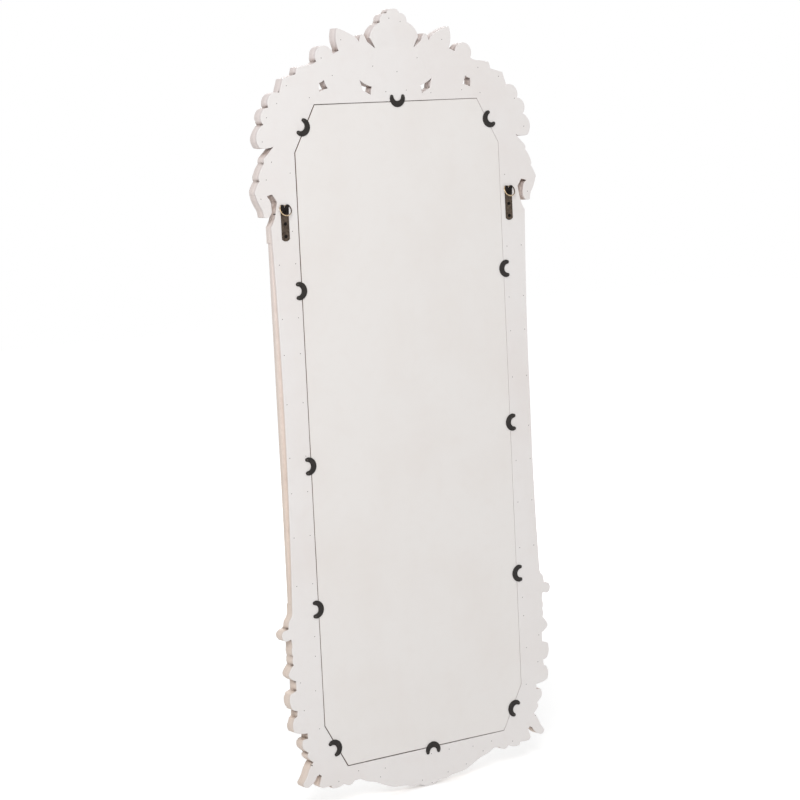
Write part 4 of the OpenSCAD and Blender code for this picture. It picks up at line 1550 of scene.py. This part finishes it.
@dataclass
class SightMoulding:
    """The mitred moulding round the glass, with a row of pearls at its inner edge.

    The profile holds shares of the width, outwards, and of the height. Gadroons are cut across the part
    of the width that torus names and leaves across that of cove. The grooves are points of the profile
    that hold the wash, each with how much.
    """

    height: float = 25 * MM
    station: float = 2.75 * MM
    torus: Pair = (0.51, 0.925)
    gadroon: float = 11 * MM
    gadroon_cut: float = 1.5 * MM
    gadroon_slant: float = 1.4
    cove: Pair = (0.28, 0.5)
    leaf: float = 16 * MM
    leaf_cut: float = 0.9 * MM
    pearl: float = 2.3 * MM
    pearl_pitch: float = 5.2 * MM
    pearl_share: float = 0.17
    pearl_rise: float = 0.24
    pearl_start: float = 0.6
    profile: Pairs = (
        (0.0, 0.0), (0.0, 0.13), (0.015, 0.165), (0.05, 0.185), (0.1, 0.2), (0.17, 0.22), (0.24, 0.25),
        (0.27, 0.3), (0.285, 0.4), (0.305, 0.49), (0.34, 0.58), (0.38, 0.66), (0.43, 0.725), (0.48, 0.765),
        (0.505, 0.77), (0.52, 0.83), (0.55, 0.91), (0.6, 0.97), (0.65, 0.995), (0.7, 1.0), (0.75, 0.99),
        (0.8, 0.955), (0.85, 0.9), (0.89, 0.83), (0.915, 0.75), (0.93, 0.72), (0.97, 0.715), (0.99, 0.7),
        (1.0, 0.66), (1.0, 0.0),
    )
    grooves: tuple[tuple[int, float], ...] = (
        (4, 0.3), (5, 0.5), (6, 0.9), (7, 0.9), (14, 0.8), (15, 0.8), (24, 0.6), (25, 0.6), (26, 0.6)
    )
    names: tuple[str, ...] = (
        "sight_top", "sight_bottom", "sight_left", "sight_right", "sight_corner_top_left",
        "sight_corner_top_right", "sight_corner_bottom_left", "sight_corner_bottom_right",
    )

    def build(self, shop: Workshop) -> None:
        """Builds the eight lengths."""
        centre = np.array([0.0, (shop.site.low + shop.site.high) / 2 * MM])
        for name in self.names:
            corners = self.from_sight(shop.solid(name).outlines(shop.board_y)[0], centre)
            shop.finish(self.length(name + "_piece", corners, shop), CARVED, name)

    @staticmethod
    def from_sight(loop: Array, centre: Array) -> Array:
        """The four corners of a length, from the edge that runs beside the glass."""
        ways = np.roll(loop, -1, axis=0) - loop
        ways /= np.hypot(*ways.T)[:, None]
        lean = np.abs(ways[:2, 0] * ways[2:, 1] - ways[:2, 1] * ways[2:, 0])
        off = centre - loop
        reach = np.abs(off[:, 0] * ways[:, 1] - off[:, 1] * ways[:, 0])
        pair = int(np.argmin(lean))
        start = pair if reach[pair] < reach[pair + 2] else pair + 2
        return np.roll(loop, -start, axis=0)

    @staticmethod
    def swell(u: Array, part: Pair) -> Array:
        """A swelling across part of the width: 1 in its middle, and 0 from its ends on."""
        low, high = part
        return ((u > low) & (u < high)) * np.sin(np.clip((u - low) / (high - low), 0, 1) * math.pi)

    def cuts(self, along: Array, u: Array) -> Array:
        """How deep the gadroons and the leaves are cut, along a length and across it."""
        flute = (1 - np.abs(np.sin(math.pi * (along / self.gadroon + self.gadroon_slant * u)))) ** 2
        leaf = (1 - np.abs(np.sin(math.pi * along / self.leaf))) ** 2
        gadroons = self.gadroon_cut * self.swell(u, self.torus) * flute
        return gadroons + self.leaf_cut * self.swell(u, self.cove) * leaf

    def length(self, name: str, corners: Array, shop: Workshop) -> Thing:
        """Builds one length with its pearls.

        Args:
            name: the new object's name.
            corners: its corners, of which the first two are at the sight edge.
            shop: what it is built from.

        Returns:
            The mesh object.
        """
        a, b, c, d = corners
        run = float(np.hypot(*(b - a)))
        share = np.linspace(0, 1, max(4, math.ceil(run / self.station)) + 1)[:, None]
        u, v = np.array(self.profile).T
        inner, outer = a + (b - a) * share, d + (c - d) * share
        spots = inner[:, None, :] + (outer - inner)[:, None, :] * u[None, :, None]
        cut = self.cuts(share * run, u)
        y = shop.board_y - v * self.height + cut
        least = np.zeros(len(u))
        for place, wash in self.grooves:
            least[place] = wash
        maker = MeshMaker()
        marks = np.maximum(np.clip(cut / self.leaf_cut, 0, 1), least)
        rows = [maker.add(level(p, height), hollow=mark) for p, height, mark in zip(spots, y, marks)]
        maker.stack(rows[::-1])
        thing = maker.build(name, shop.carved, MOULDED_SHADE)
        way = (b - a) / run
        seat = inner[[0, -1]] + (outer - inner)[[0, -1]] * self.pearl_share
        ends = seat + np.array([way, -way]) * self.pearl_start * self.pearl_pitch
        y_row = shop.board_y - self.pearl_rise * self.height
        return shop.rows.apply(
            thing, Start=(ends[0][0], y_row, ends[0][1]), End=(ends[1][0], y_row, ends[1][1]),
            Pitch=self.pearl_pitch, Size=(self.pearl,) * 3, Material=shop.carved,
        )


@dataclass
class LeafSpray:
    """An applied spray of leaves: blades from one base, in millimetres.

    The base is measured from the centre line and the opening's top or lower edge. Each tip holds its
    place from the base and half the blade's width, of which the shares are taken along the blade.
    """

    node: str
    base: Pair
    tips: tuple[tuple[float, float, float], ...]
    upper: bool = True
    root: float = 11.0
    root_rise: float = 33.0
    stations: Floats = (0, 1 / 3, 2 / 3, 0.96)
    shares: Floats = (0.6, 1.05, 1.15, 0.6)
    rises: Floats = (31.0, 32.5, 31.5, 27.0)
    vein: float = 1.6
    pitch: float = 14.0

    def strokes(self, site: Site) -> list[Stroke]:
        """The blades and the knop at their base."""
        x, z = self.base[0], self.base[1] + site.end(self.upper)
        made = [Stroke(((0, -2), (0, 2)), (self.root,), (self.root_rise,), 0.0).moved(x, z)]
        for dx, dz, half in self.tips:
            spine = tuple((dx * s, dz * s) for s in self.stations)
            widths = tuple(share * half for share in self.shares)
            cuts = max(3, round(math.hypot(dx, dz) / self.pitch))
            made.append(Stroke(spine, widths, self.rises, self.vein, cuts).moved(x, z))
        return made


@dataclass
class Shell:
    """An applied shell of flutes, in millimetres: each flute has its turn from upright and its reach."""

    node: str
    drop: float
    flutes: Pairs
    widths: Pair
    upper: bool = True
    heart: float = 9.0
    rises: Floats = (27.0, 30.5, 31.0)
    vein: float = 0.9

    def strokes(self, site: Site) -> list[Stroke]:
        """The flutes that end on the right half or on its edge."""
        z = self.drop + site.end(self.upper)
        sign = 1 if self.upper else -1
        made = []
        for turn, reach in self.flutes:
            ray = (sign * math.sin(math.radians(turn)), sign * math.cos(math.radians(turn)))
            stations = (self.heart, (self.heart + reach) / 2, reach)
            spine = tuple((ray[0] * s, ray[1] * s) for s in stations)
            made.append(Stroke(spine, self.widths, self.rises, self.vein).moved(0, z))
        return [stroke for stroke in made if round(stroke.spine[-1][0]) >= 0]


@dataclass
class Volute:
    """An applied scroll that winds into an eye, in millimetres.

    It keeps its radius up to the share of its length that hold names, and then winds in. The swell
    holds pairs of a share of its length and of the tube there. Below wash_top the wash grows, to full
    where it lies wash_depth lower. The eye's profile holds shares of its radius, with their rises.
    """

    node: str
    at: Pair
    radius: float
    start: float
    sweep: float
    steps: int = 90
    hold: float = 0.45
    tube: float = 6.0
    swell: Pairs = ((0, 0.55), (0.15, 0.85), (0.5, 1.0), (1, 0.5))
    crown: float = 23.0
    crown_fall: float = 2.0
    ripple: float = 0.9
    ripples: int = 7
    eye: float = 9.0
    eye_gap: float = 1.5
    eye_profile: Pairs = (
        (1.0, 12.0), (1.0, 25.0), (0.94, 27.0), (0.8, 27.6), (0.68, 26.8), (0.6, 27.6), (0.5, 30.0),
        (0.34, 31.4), (0.16, 32.0),
    )
    eye_groove: float = 26.8
    groove_wash: float = 0.9
    wash_top: float = 24.0
    wash_depth: float = 5.0
    foot: float = 12.0

    def build(self, shop: Workshop, side: Side) -> Thing:
        """Builds the scroll and its eye.

        Args:
            shop: what it is built from.
            side: the half that it lies on.

        Returns:
            The mesh object.
        """
        centre = np.array([self.at[0], self.at[1] + shop.site.high])
        maker = MeshMaker()
        share = np.linspace(0, 1, self.steps)
        angle = np.radians(self.start + self.sweep * share)
        radius = np.interp(share, (0, self.hold, 1), (self.radius, self.radius, self.eye + self.eye_gap))
        tube = np.interp(share, *np.array(self.swell).T) * self.tube
        half_round = np.linspace(0, math.pi, 11)
        rows = []
        for a, r, t, s in zip(angle, radius, tube, share):
            out = np.array([math.cos(a), math.sin(a)])
            across = np.concatenate([np.cos(half_round), [-1.0, 1.0]]) * t
            ripple = self.ripple * (1 - abs(math.cos(self.ripples * math.pi * s)))
            top = self.crown + self.crown_fall * (1 - s) - ripple
            rise = np.concatenate([top + np.sin(half_round) * t, [self.foot, self.foot]])
            spot = centre + out * (r + across[:, None])
            mark = np.clip((self.wash_top - rise) / self.wash_depth, 0, 1)
            rows.append(maker.add(self._placed(spot, rise, shop, side), hollow=mark))
        maker.stack(rows if side is Side.LEFT else rows[::-1])
        self._eye(maker, centre, shop, side)
        return maker.build(f"{self.node}_{side.word}_piece", shop.carved, TURNED_SHADE)

    def _placed(self, spot: Array, rise: Array, shop: Workshop, side: Side) -> Array:
        """Points in the frame, from places in millimetres on the right side and rises."""
        return np.c_[spot[:, 0] * side.value, shop.site.board_y - rise, spot[:, 1]] * MM

    def _eye(self, maker: MeshMaker, centre: Array, shop: Workshop, side: Side) -> None:
        """Adds a button with a ring round it."""
        ring = circle(32)
        rings = []
        for share, rise in self.eye_profile:
            spot = centre + ring * share * self.eye
            mark = self.groove_wash if rise == self.eye_groove else 0.0
            row = maker.add(self._placed(spot, np.full(len(spot), rise), shop, side), hollow=mark)
            rings.append(row if side is Side.RIGHT else row[::-1])
        maker.stack(rings)


@dataclass
class Ornaments:
    """Everything that is applied to the carved layer.

    Sizes are in metres, and the boss's turns in degrees from its rim to its crown. Of a stile's beads,
    the rail holds the half width, the rise and the foot, and each row its start and its bead's size.
    """

    foot: float = 12 * MM
    edge: float = 21.5 * MM
    edge_round: float = 2.5 * MM
    lobe: float = 14 * MM
    nick: float = 1.3 * MM
    boss_lobes: int = 12
    boss_cut: float = 0.9 * MM
    boss_turns: Floats = (0, 8, 18, 30, 42, 54, 64, 72, 79, 86)
    rail: tuple[float, float, float] = (3.2 * MM, 1.6 * MM, 2 * MM)
    rail_wash: float = 0.6
    bead_sink: float = 0.4 * MM
    bead_pitch: float = 15 * MM
    bead_rows: tuple[tuple[float, tuple[float, float, float]], ...] = (
        (8 * MM, (4.5 * MM, 4.4 * MM, 5 * MM)), (15.5 * MM, (3.4 * MM, 3.3 * MM, 1.5 * MM))
    )
    sprays: tuple[LeafSpray, ...] = (
        LeafSpray(
            "crest_leaf", (116, 74), ((-16, 50, 6), (10, 66, 8), (32, 82, 9), (74, 38, 8), (-30, 20, 5))
        ),
        LeafSpray(
            "shoulder_leaf", (316, -88),
            ((10, 100, 11), (36, 66, 10), (46, 24, 9), (28, -34, 8), (52, -92, 11), (48, -120, 11),
             (12, -108, 9)), root=13.0,
        ),
        LeafSpray(
            "corner_leaf", (316, 128),
            ((-6, 238, 11), (28, 200, 10), (26, 110, 9), (40, 52, 8), (36, -4, 8), (-26, -56, 7),
             (-16, -128, 8)), upper=False, root=13.0,
        ),
        LeafSpray("apron_scroll", (250, -24), ((-62, 6, 6), (-122, -4, 8), (-184, -18, 8)), False, 9.0),
    )
    shells: tuple[Shell, ...] = (
        Shell("crown_shell", 110, ((0, 82), (26, 64), (52, 58), (78, 46)), (3.5, 9.0)),
        Shell("apron_shell", -24, ((0, 50), (33, 44), (66, 44), (-33, 44), (-66, 44)), (3.5, 7.0), False),
    )
    volutes: tuple[Volute, ...] = (
        Volute("crest_scroll", (141, 34), 24, -30, 400),
        Volute("shoulder_scroll", (246, 42), 22, -60, 430),
    )

    def build(self, shop: Workshop) -> None:
        """Builds the leaves, the shells, the scrolls, the boss and the beads.

        Args:
            shop: what they are built from.
        """
        for spray in self.sprays:
            for side in Side:
                self.leafy(shop, f"{spray.node}_{side.word}", spray.strokes(shop.site), self.nick)
        for shell in self.shells:
            self.leafy(shop, shell.node, shell.strokes(shop.site))
        for volute in self.volutes:
            for side in Side:
                shop.finish(volute.build(shop, side), CARVED, f"{volute.node}_{side.word}")
        self.boss(shop)
        for side in Side:
            self.beads(shop, side)

    def leafy(self, shop: Workshop, node: str, strokes: list[Stroke], nick: float = 0.0) -> None:
        """Builds a spray or a shell on the outline of its solid.

        Args:
            shop: what it is built from.
            node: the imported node.
            strokes: its carving.
            nick: how deep its edge is nicked between lobes.
        """
        loops = shop.outlines(node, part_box(node)[1].y)
        if nick:
            loops = [scalloped(p, self.lobe, nick) for p in loops]
        relief = Relief(strokes, self.edge - MM, self.edge, self.edge_round)
        piece = CarvedPiece(
            node + "_piece", loops, relief, shop.board_y - self.foot, shop.board_y, 1.2 * MM, 0.3 * MM
        )
        shop.carve(piece, node)

    def boss(self, shop: Workshop) -> None:
        """Builds the gadrooned boss under the shell.

        Args:
            shop: what it is built from.
        """
        low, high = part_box("crown_boss")
        centre = np.array([(low.x + high.x) / 2, (low.z + high.z) / 2])
        radius, depth = (high.x - low.x) / 2, high.y - low.y
        ring = circle(8 * self.boss_lobes)
        nick = 1 - np.abs(np.cos(np.arange(len(ring)) * math.pi / 8))
        maker = MeshMaker()
        rings = [maker.add(level(centre + ring * radius, shop.board_y - self.foot))]
        for turn in np.radians(self.boss_turns):
            share = nick**2 * math.sin(2 * turn)
            cut = self.boss_cut * share
            spot = centre + ring * (radius * math.cos(turn) - 0.5 * cut)[:, None]
            rings.append(maker.add(level(spot, high.y - depth * math.sin(turn) + cut), hollow=share))
        maker.stack(rings)
        shop.finish(maker.build("crown_boss_piece", shop.carved, TURNED_SHADE), CARVED, "crown_boss")

    def beads(self, shop: Workshop, side: Side) -> None:
        """Builds the bead and reel on a stile, on a low rail.

        Args:
            shop: what they are built from.
            side: the half that the stile stands on.
        """
        name = "stile_bead_" + side.word
        low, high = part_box(name)
        x = (low.x + high.x) / 2
        half, rise, foot = self.rail
        around = np.linspace(0, math.pi, 9)
        across = np.concatenate([x + half * np.cos(around), [x - half, x + half]])
        y = np.concatenate([high.y - rise * np.sin(around), [high.y + foot, high.y + foot]])
        maker = MeshMaker()
        rows = [
            maker.add(np.c_[across, y, np.full(len(y), z)], hollow=self.rail_wash)
            for z in np.linspace(low.z, high.z, 60)
        ]
        maker.stack(rows[::-1])
        thing = maker.build(name + "_piece", shop.carved, MOULDED_SHADE)
        seat = high.y - self.bead_sink
        for start, size in self.bead_rows:
            shop.rows.apply(
                thing, Start=(x, seat, low.z + start), End=(x, seat, high.z - start),
                Pitch=self.bead_pitch, Size=size, Material=shop.carved,
            )
        shop.finish(thing, CARVED, name)


def turned(profile: Profile, steps: int) -> MeshMaker:
    """A turned piece that stands up from the back.

    Args:
        profile: radius and height of each ring, in millimetres, from the top down.
        steps: points in a ring.

    Returns:
        The piece around the origin, not yet a mesh.
    """
    maker = MeshMaker()
    ring = circle(steps)
    maker.stack([maker.add(level(ring * r * MM, np.asarray(height) * MM)) for r, height in profile])
    return maker


@dataclass
class BackFittings:
    """The metal on the back: clips, nails, brads, hanger straps, screws and rings. In millimetres.

    A clip is an outer circle less an inner one, clip_cut_out to the side, with round tips at the nails.
    The profiles hold radius and height from the top down, and clip_levels inset and height. Nails and
    screws are turned by an even step from one to the next. A ring's painted shade is what its middle
    has, and what it gains towards +X and upwards.
    """

    clip_radius: float = 20.5
    clip_cut: float = 11.0
    clip_cut_out: float = 4.5
    clip_tip: float = 4.6
    tip_sweep: float = 0.35 * math.pi
    tip_turn: float = 0.13
    outer_gap: float = 0.16
    inner_gap: float = 0.2
    clip_levels: Pairs = (
        (2.2, 3.0), (1.3, 2.9), (0.7, 2.6), (0.25, 2.1), (0.0, 1.4), (0.0, 0.3), (0.3, 0.0)
    )
    nail: Pair = (3.25, 15.25)
    nail_turn: float = 1.3
    nail_profile: Profile = (
        (0.3, 3.8), (1.0, 3.72), (1.7, 3.5), (2.2, 3.2), (2.4, 2.9), (2.3, 2.6), (1.1, 2.5), (1.1, -6.8)
    )
    brad_profile: Profile = ((0.3, 0.2), (0.75, 0.16), (0.98, 0.02), (0.98, -8.0))
    screw_turns: Pair = (0.5, 1.9)
    screw_radius: float = 3.75
    screw_rings: Floats = (
        0.1, 0.35, 0.6, 0.85, 1.1, 1.35, 1.6, 1.85, 2.1, 2.35, 2.6, 2.9, 3.2, 3.5, 3.68
    )
    screw_profile: Profile = ((3.75, -1.2), (3.75, -1.8), (1.7, -1.85), (1.7, -7.0))
    cross_depth: float = 1.1
    cross_half: Pair = (2.3, 0.62)
    cross_fade: Pair = (0.5, 0.18)
    fold_rise: float = 1.5
    strap_soft: float = 0.3
    ring_tarnish: Floats = (0.3, -0.9, 0.6)

    def build(self, shop: Workshop) -> None:
        """Builds every fitting.

        Args:
            shop: what they are built from.
        """
        nails = self.middles(shop, "clip_nails")
        spots = [(x, 0.0, z, k * self.nail_turn) for k, (x, z) in enumerate(nails)]
        self.scatter(shop, "clip_nails", "nail_steel", turned(self.nail_profile, 20), spots)
        self.scatter(shop, "retaining_clips", "black_steel", self.clip(), self.clip_spots(shop, nails))
        spots = [(x, 0.0, z, 0.0) for x, z in self.middles(shop, "brads")]
        self.scatter(shop, "brads", "brad_steel", turned(self.brad_profile, 14), spots)
        tops = [float(points[:, 1].max()) for points in shop.solid("hanger_screws").bodies()]
        first, step = self.screw_turns
        screws = enumerate(zip(self.middles(shop, "hanger_screws"), tops))
        spots = [(x, y, z, first + step * k) for k, ((x, z), y) in screws]
        self.scatter(shop, "hanger_screws", "screw_steel", self.screw(), spots)
        for side in Side:
            strap, ring = "hanger_strap_" + side.word, "hanger_ring_" + side.word
            shade = self.fold_shade(shop.solid(strap).points)
            self.copy(shop, strap, "bronzed_steel", BODY, shade, self.strap_soft * MM)
            # Painted shade on the ring: darker upwards and towards -X
            tarnish = self.tarnish(shop.solid(ring).points)
            self.copy(shop, ring, "ring_brass", "ring_" + side.word, tarnish)

    def fold_shade(self, points: Array) -> Array:
        """How dark a strap is: its fold and the tail that is pressed down on it."""
        return (points[:, 1] > self.fold_rise * MM).astype(float)

    def tarnish(self, points: Array) -> Array:
        """How dark a ring is: painted shade, heavier upwards and towards -X, and painted light below and
        towards +X.
        """
        centre = (points.min(axis=0) + points.max(axis=0)) / 2
        off = (points - centre) / (points[:, 0].max() - centre[0])
        plain, across, up = self.ring_tarnish
        return np.clip(plain + across * off[:, 0] + up * off[:, 2], 0, 1)

    @staticmethod
    def middles(shop: Workshop, node: str) -> list[Pair]:
        """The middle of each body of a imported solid, in X and Z."""
        boxes = [(points.min(axis=0), points.max(axis=0)) for points in shop.solid(node).bodies()]
        return [(float(low[0] + high[0]) / 2, float(low[2] + high[2]) / 2) for low, high in boxes]

    def clip_spots(self, shop: Workshop, nails: list[Pair]) -> list[Floats]:
        """Places each clip by its two nails and the side that its tips point to.

        Args:
            shop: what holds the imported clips.
            nails: the middle of each nail, in X and Z.

        Returns:
            X, Y, Z and turn of each clip.
        """
        places = np.array(nails)
        made = []
        for points in shop.solid("retaining_clips").bodies():
            centroid = points[:, [0, 2]].mean(axis=0)
            first, second = places[np.argsort(np.hypot(*(places - centroid).T))[:2]]
            middle = (first + second) / 2
            way = np.array([second[1] - first[1], first[0] - second[0]])
            way /= np.hypot(*way)
            way *= np.sign(way @ (middle - centroid))
            centre = middle - way * self.nail[0] * MM
            made.append((float(centre[0]), 0.0, float(centre[1]), -math.atan2(way[1], way[0])))
        return made

    def clip(self) -> MeshMaker:
        """A crescent with round tips and a soft upper rim, its tips towards +X."""
        x, z = self.nail
        outer_end = math.atan2(z, x) + self.outer_gap
        inner_end = math.atan2(z, x - self.clip_cut_out) + self.inner_gap

        def arc(centre: Pair, radius: float, start: float, end: float, steps: int) -> Array:
            """Points along part of a circle."""
            around = np.linspace(start, end, steps)
            return np.c_[centre[0] + radius * np.cos(around), centre[1] + radius * np.sin(around)]

        sweep, turn = self.tip_sweep, self.tip_turn
        loop = MM * np.vstack([
            arc((0, 0), self.clip_radius, outer_end, 2 * math.pi - outer_end, 64),
            arc((x, -z), self.clip_tip, turn - sweep, turn + sweep, 14),
            arc((self.clip_cut_out, 0), self.clip_cut, 2 * math.pi - inner_end, inner_end, 40),
            arc((x, z), self.clip_tip, -turn - sweep, -turn + sweep, 14),
        ])
        soft = smoothed(loop, 3)
        way = inward(soft)
        maker = MeshMaker()
        maker.stack([maker.add(level(soft + way * inset * MM, y * MM)) for inset, y in self.clip_levels])
        return maker

    def screw(self) -> MeshMaker:
        """A pan head with a cross in it, measured down from its top."""
        around = circle(64)
        length, half = self.cross_half
        end_fade, side_fade = self.cross_fade

        def arm(a: Array, b: Array) -> Array:
            """How much of the cross's arm along a covers a place."""
            beside = np.clip((half - np.abs(b)) / side_fade, 0, 1)
            return beside * np.clip((length - np.abs(a)) / end_fade, 0, 1)

        rings = []
        for r in self.screw_rings:
            x, z = (around * r).T
            dome = -((r / self.screw_radius) ** 3)
            rings.append((r, dome - self.cross_depth * np.maximum(arm(x, z), arm(z, x))))
        return turned((*rings, *self.screw_profile), 64)

    @staticmethod
    def scatter(
        shop: Workshop, node: str, slot: str, pattern: MeshMaker, spots: list[Floats]
    ) -> None:
        """Copies a pattern to every spot and puts it on the frame."""
        thing = shop.scatter.place(node + "_piece", pattern, spots, shop.materials[slot])
        shop.finish(thing, slot, node)

    @staticmethod
    def copy(
        shop: Workshop, node: str, slot: str, body: str, hollow: Array, soften: float = 0.0
    ) -> None:
        """Builds a merged, smoothly shaded copy of a solid.

        Args:
            shop: what it is built from.
            node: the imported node.
            slot: the record's material slot.
            body: the body that it moves with.
            hollow: how dark each of its points is.
            soften: the width of its softened edges.
        """
        solid = shop.solid(node)
        mesh = bpy.data.meshes.new(node + "_piece")
        mesh.from_pydata(solid.points.tolist(), [], solid.triangles.tolist())
        mesh.attributes.new("hollow", "FLOAT", "POINT").data.foreach_set("value", hollow.astype(np.float32))
        thing = placed(node + "_piece", mesh, shop.materials[slot], METAL_SHADE)
        if soften:
            bevel = thing.modifiers.new("Soften", "BEVEL")
            bevel.width = soften
            bevel.segments = 2
            bevel.limit_method = "ANGLE"
            bevel.angle_limit = BEVEL_TURN
            evaluated(thing)
            thing.data.set_sharp_from_angle(angle=METAL_SHADE)
        shop.finish(thing, slot, node, body=body)


@dataclass
class Studio:
    """The floor, the light and the camera at the photograph's angle.

    The floor glows between the two values of glow, at the distances of glow_span. Each lamp holds its
    place, its width and its power, and the camera its place, its turn in degrees and its lens.
    """

    floor: float = 24.0
    floor_gap: float = 0.3 * MM
    floor_colour: Floats = (0.8, 0.8, 0.8, 1)
    world: float = 0.5
    glow: Pair = (0.36, 0.64)
    glow_span: Pair = (1.2, 4.0)
    eye: tuple[float, float, float] = (2.97865, 4.38393, 1.52455)
    turn: tuple[float, float, float] = (83.3990, 2.7382, 145.7738)
    lens: float = 104.447
    film: float = 36.0
    lamps: tuple[tuple[tuple[float, float, float], float, float], ...] = (
        ((3.0, 4.0, 3.8), 2.6, 172.0),
        ((-2.2, -4.2, 3.0), 2.6, 90.0),
    )
    aim: tuple[float, float, float] = (0.0, 0.0, 0.95)

    def build(self) -> None:
        """Builds all three."""
        scene = bpy.context.scene
        scene.view_settings.view_transform = "Standard"
        self.add_world(scene)
        self.add_floor(scene)
        for k, (place, size, power) in enumerate(self.lamps):
            lamp = bpy.data.lights.new(f"lamp_{k}", "AREA")
            lamp.shape = "DISK"
            lamp.size = size
            lamp.energy = power
            thing = bpy.data.objects.new(lamp.name, lamp)
            thing.location = place
            way = Vector(self.aim) - Vector(place)
            thing.rotation_euler = way.to_track_quat("-Z", "Y").to_euler()
            scene.collection.objects.link(thing)
        camera = bpy.data.objects.new("camera", bpy.data.cameras.new("camera"))
        camera.data.lens = self.lens
        camera.data.sensor_width = self.film
        camera.location = self.eye
        camera.rotation_euler = Euler([math.radians(a) for a in self.turn])
        scene.collection.objects.link(camera)
        scene.camera = camera

    @staticmethod
    def seen(nodes: Nodes) -> Socket:
        """1 for what the camera sees, by itself or in metal and glass, and 0 for light."""
        path = nodes.node("ShaderNodeLightPath").outputs
        share = path["Is Camera Ray"]
        for key in ("Is Glossy Ray", "Is Transmission Ray"):
            share = nodes.worked("MAXIMUM", share, path[key])
        return share

    def add_world(self, scene: bpy.types.Scene) -> None:
        """White for what is seen, and a plain soft light for the rest."""
        world = bpy.data.worlds.new("studio")
        world.use_nodes = True
        nodes = Nodes(world.node_tree)
        back = nodes.tree.nodes["Background"].inputs
        nodes.put(back["Color"], (1, 1, 1, 1))
        nodes.put(back["Strength"], nodes.span(self.seen(nodes), 0.0, 1.0, 1.0, self.world))
        scene.world = world

    def add_floor(self, scene: bpy.types.Scene) -> None:
        """Adds a floor that looks white, more so further off, and keeps the object's shadow.

        Args:
            scene: the scene that it is put in.
        """
        half = self.floor / 2
        mesh = bpy.data.meshes.new("floor")
        corners = [(-half, -half, 0), (half, -half, 0), (half, half, 0), (-half, half, 0)]
        mesh.from_pydata(corners, [], [(0, 1, 2, 3)])
        material = bpy.data.materials.new("floor")
        material.use_nodes = True
        nodes = Nodes(material.node_tree)
        nodes.tree.nodes.remove(nodes.tree.nodes["Principled BSDF"])
        matt = nodes.node("ShaderNodeBsdfDiffuse", Color=self.floor_colour)
        place = nodes.node("ShaderNodeTexCoord").outputs["Object"]
        away = nodes.node("ShaderNodeVectorMath", {"operation": "LENGTH"}, Vector=place).outputs["Value"]
        near, far = self.glow
        share = nodes.times(nodes.span(away, *self.glow_span, far, near), self.seen(nodes))
        glow = nodes.node("ShaderNodeEmission", Strength=share)
        both = nodes.node("ShaderNodeAddShader")
        nodes.put(both.inputs[0], matt.outputs[0])
        nodes.put(both.inputs[1], glow.outputs[0])
        nodes.put(nodes.tree.nodes["Material Output"].inputs["Surface"], both.outputs[0])
        mesh.materials.append(material)
        floor = bpy.data.objects.new("floor", mesh)
        floor.location.z = -self.floor_gap
        scene.collection.objects.link(floor)


@dataclass
class Mirror:
    """The whole mirror."""

    carcass: Carcass = field(default_factory=Carcass)
    carving: Carving = field(default_factory=Carving)
    sight: SightMoulding = field(default_factory=SightMoulding)
    ornaments: Ornaments = field(default_factory=Ornaments)
    fittings: BackFittings = field(default_factory=BackFittings)

    def build(self, shop: Workshop) -> None:
        """Builds every sub-assembly."""
        for part in (self.carcass, self.carving, self.sight, self.ornaments, self.fittings):
            part.build(shop)


def main() -> None:
    """Dresses the frame and builds the studio."""
    logging.basicConfig(level=logging.INFO, format="%(message)s")
    for thing in list(bpy.data.objects):
        bpy.data.objects.remove(thing)
    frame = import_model()
    Mirror().build(Workshop(frame["nodes"]))
    Studio().build()


if __name__ == "__main__":
    main()
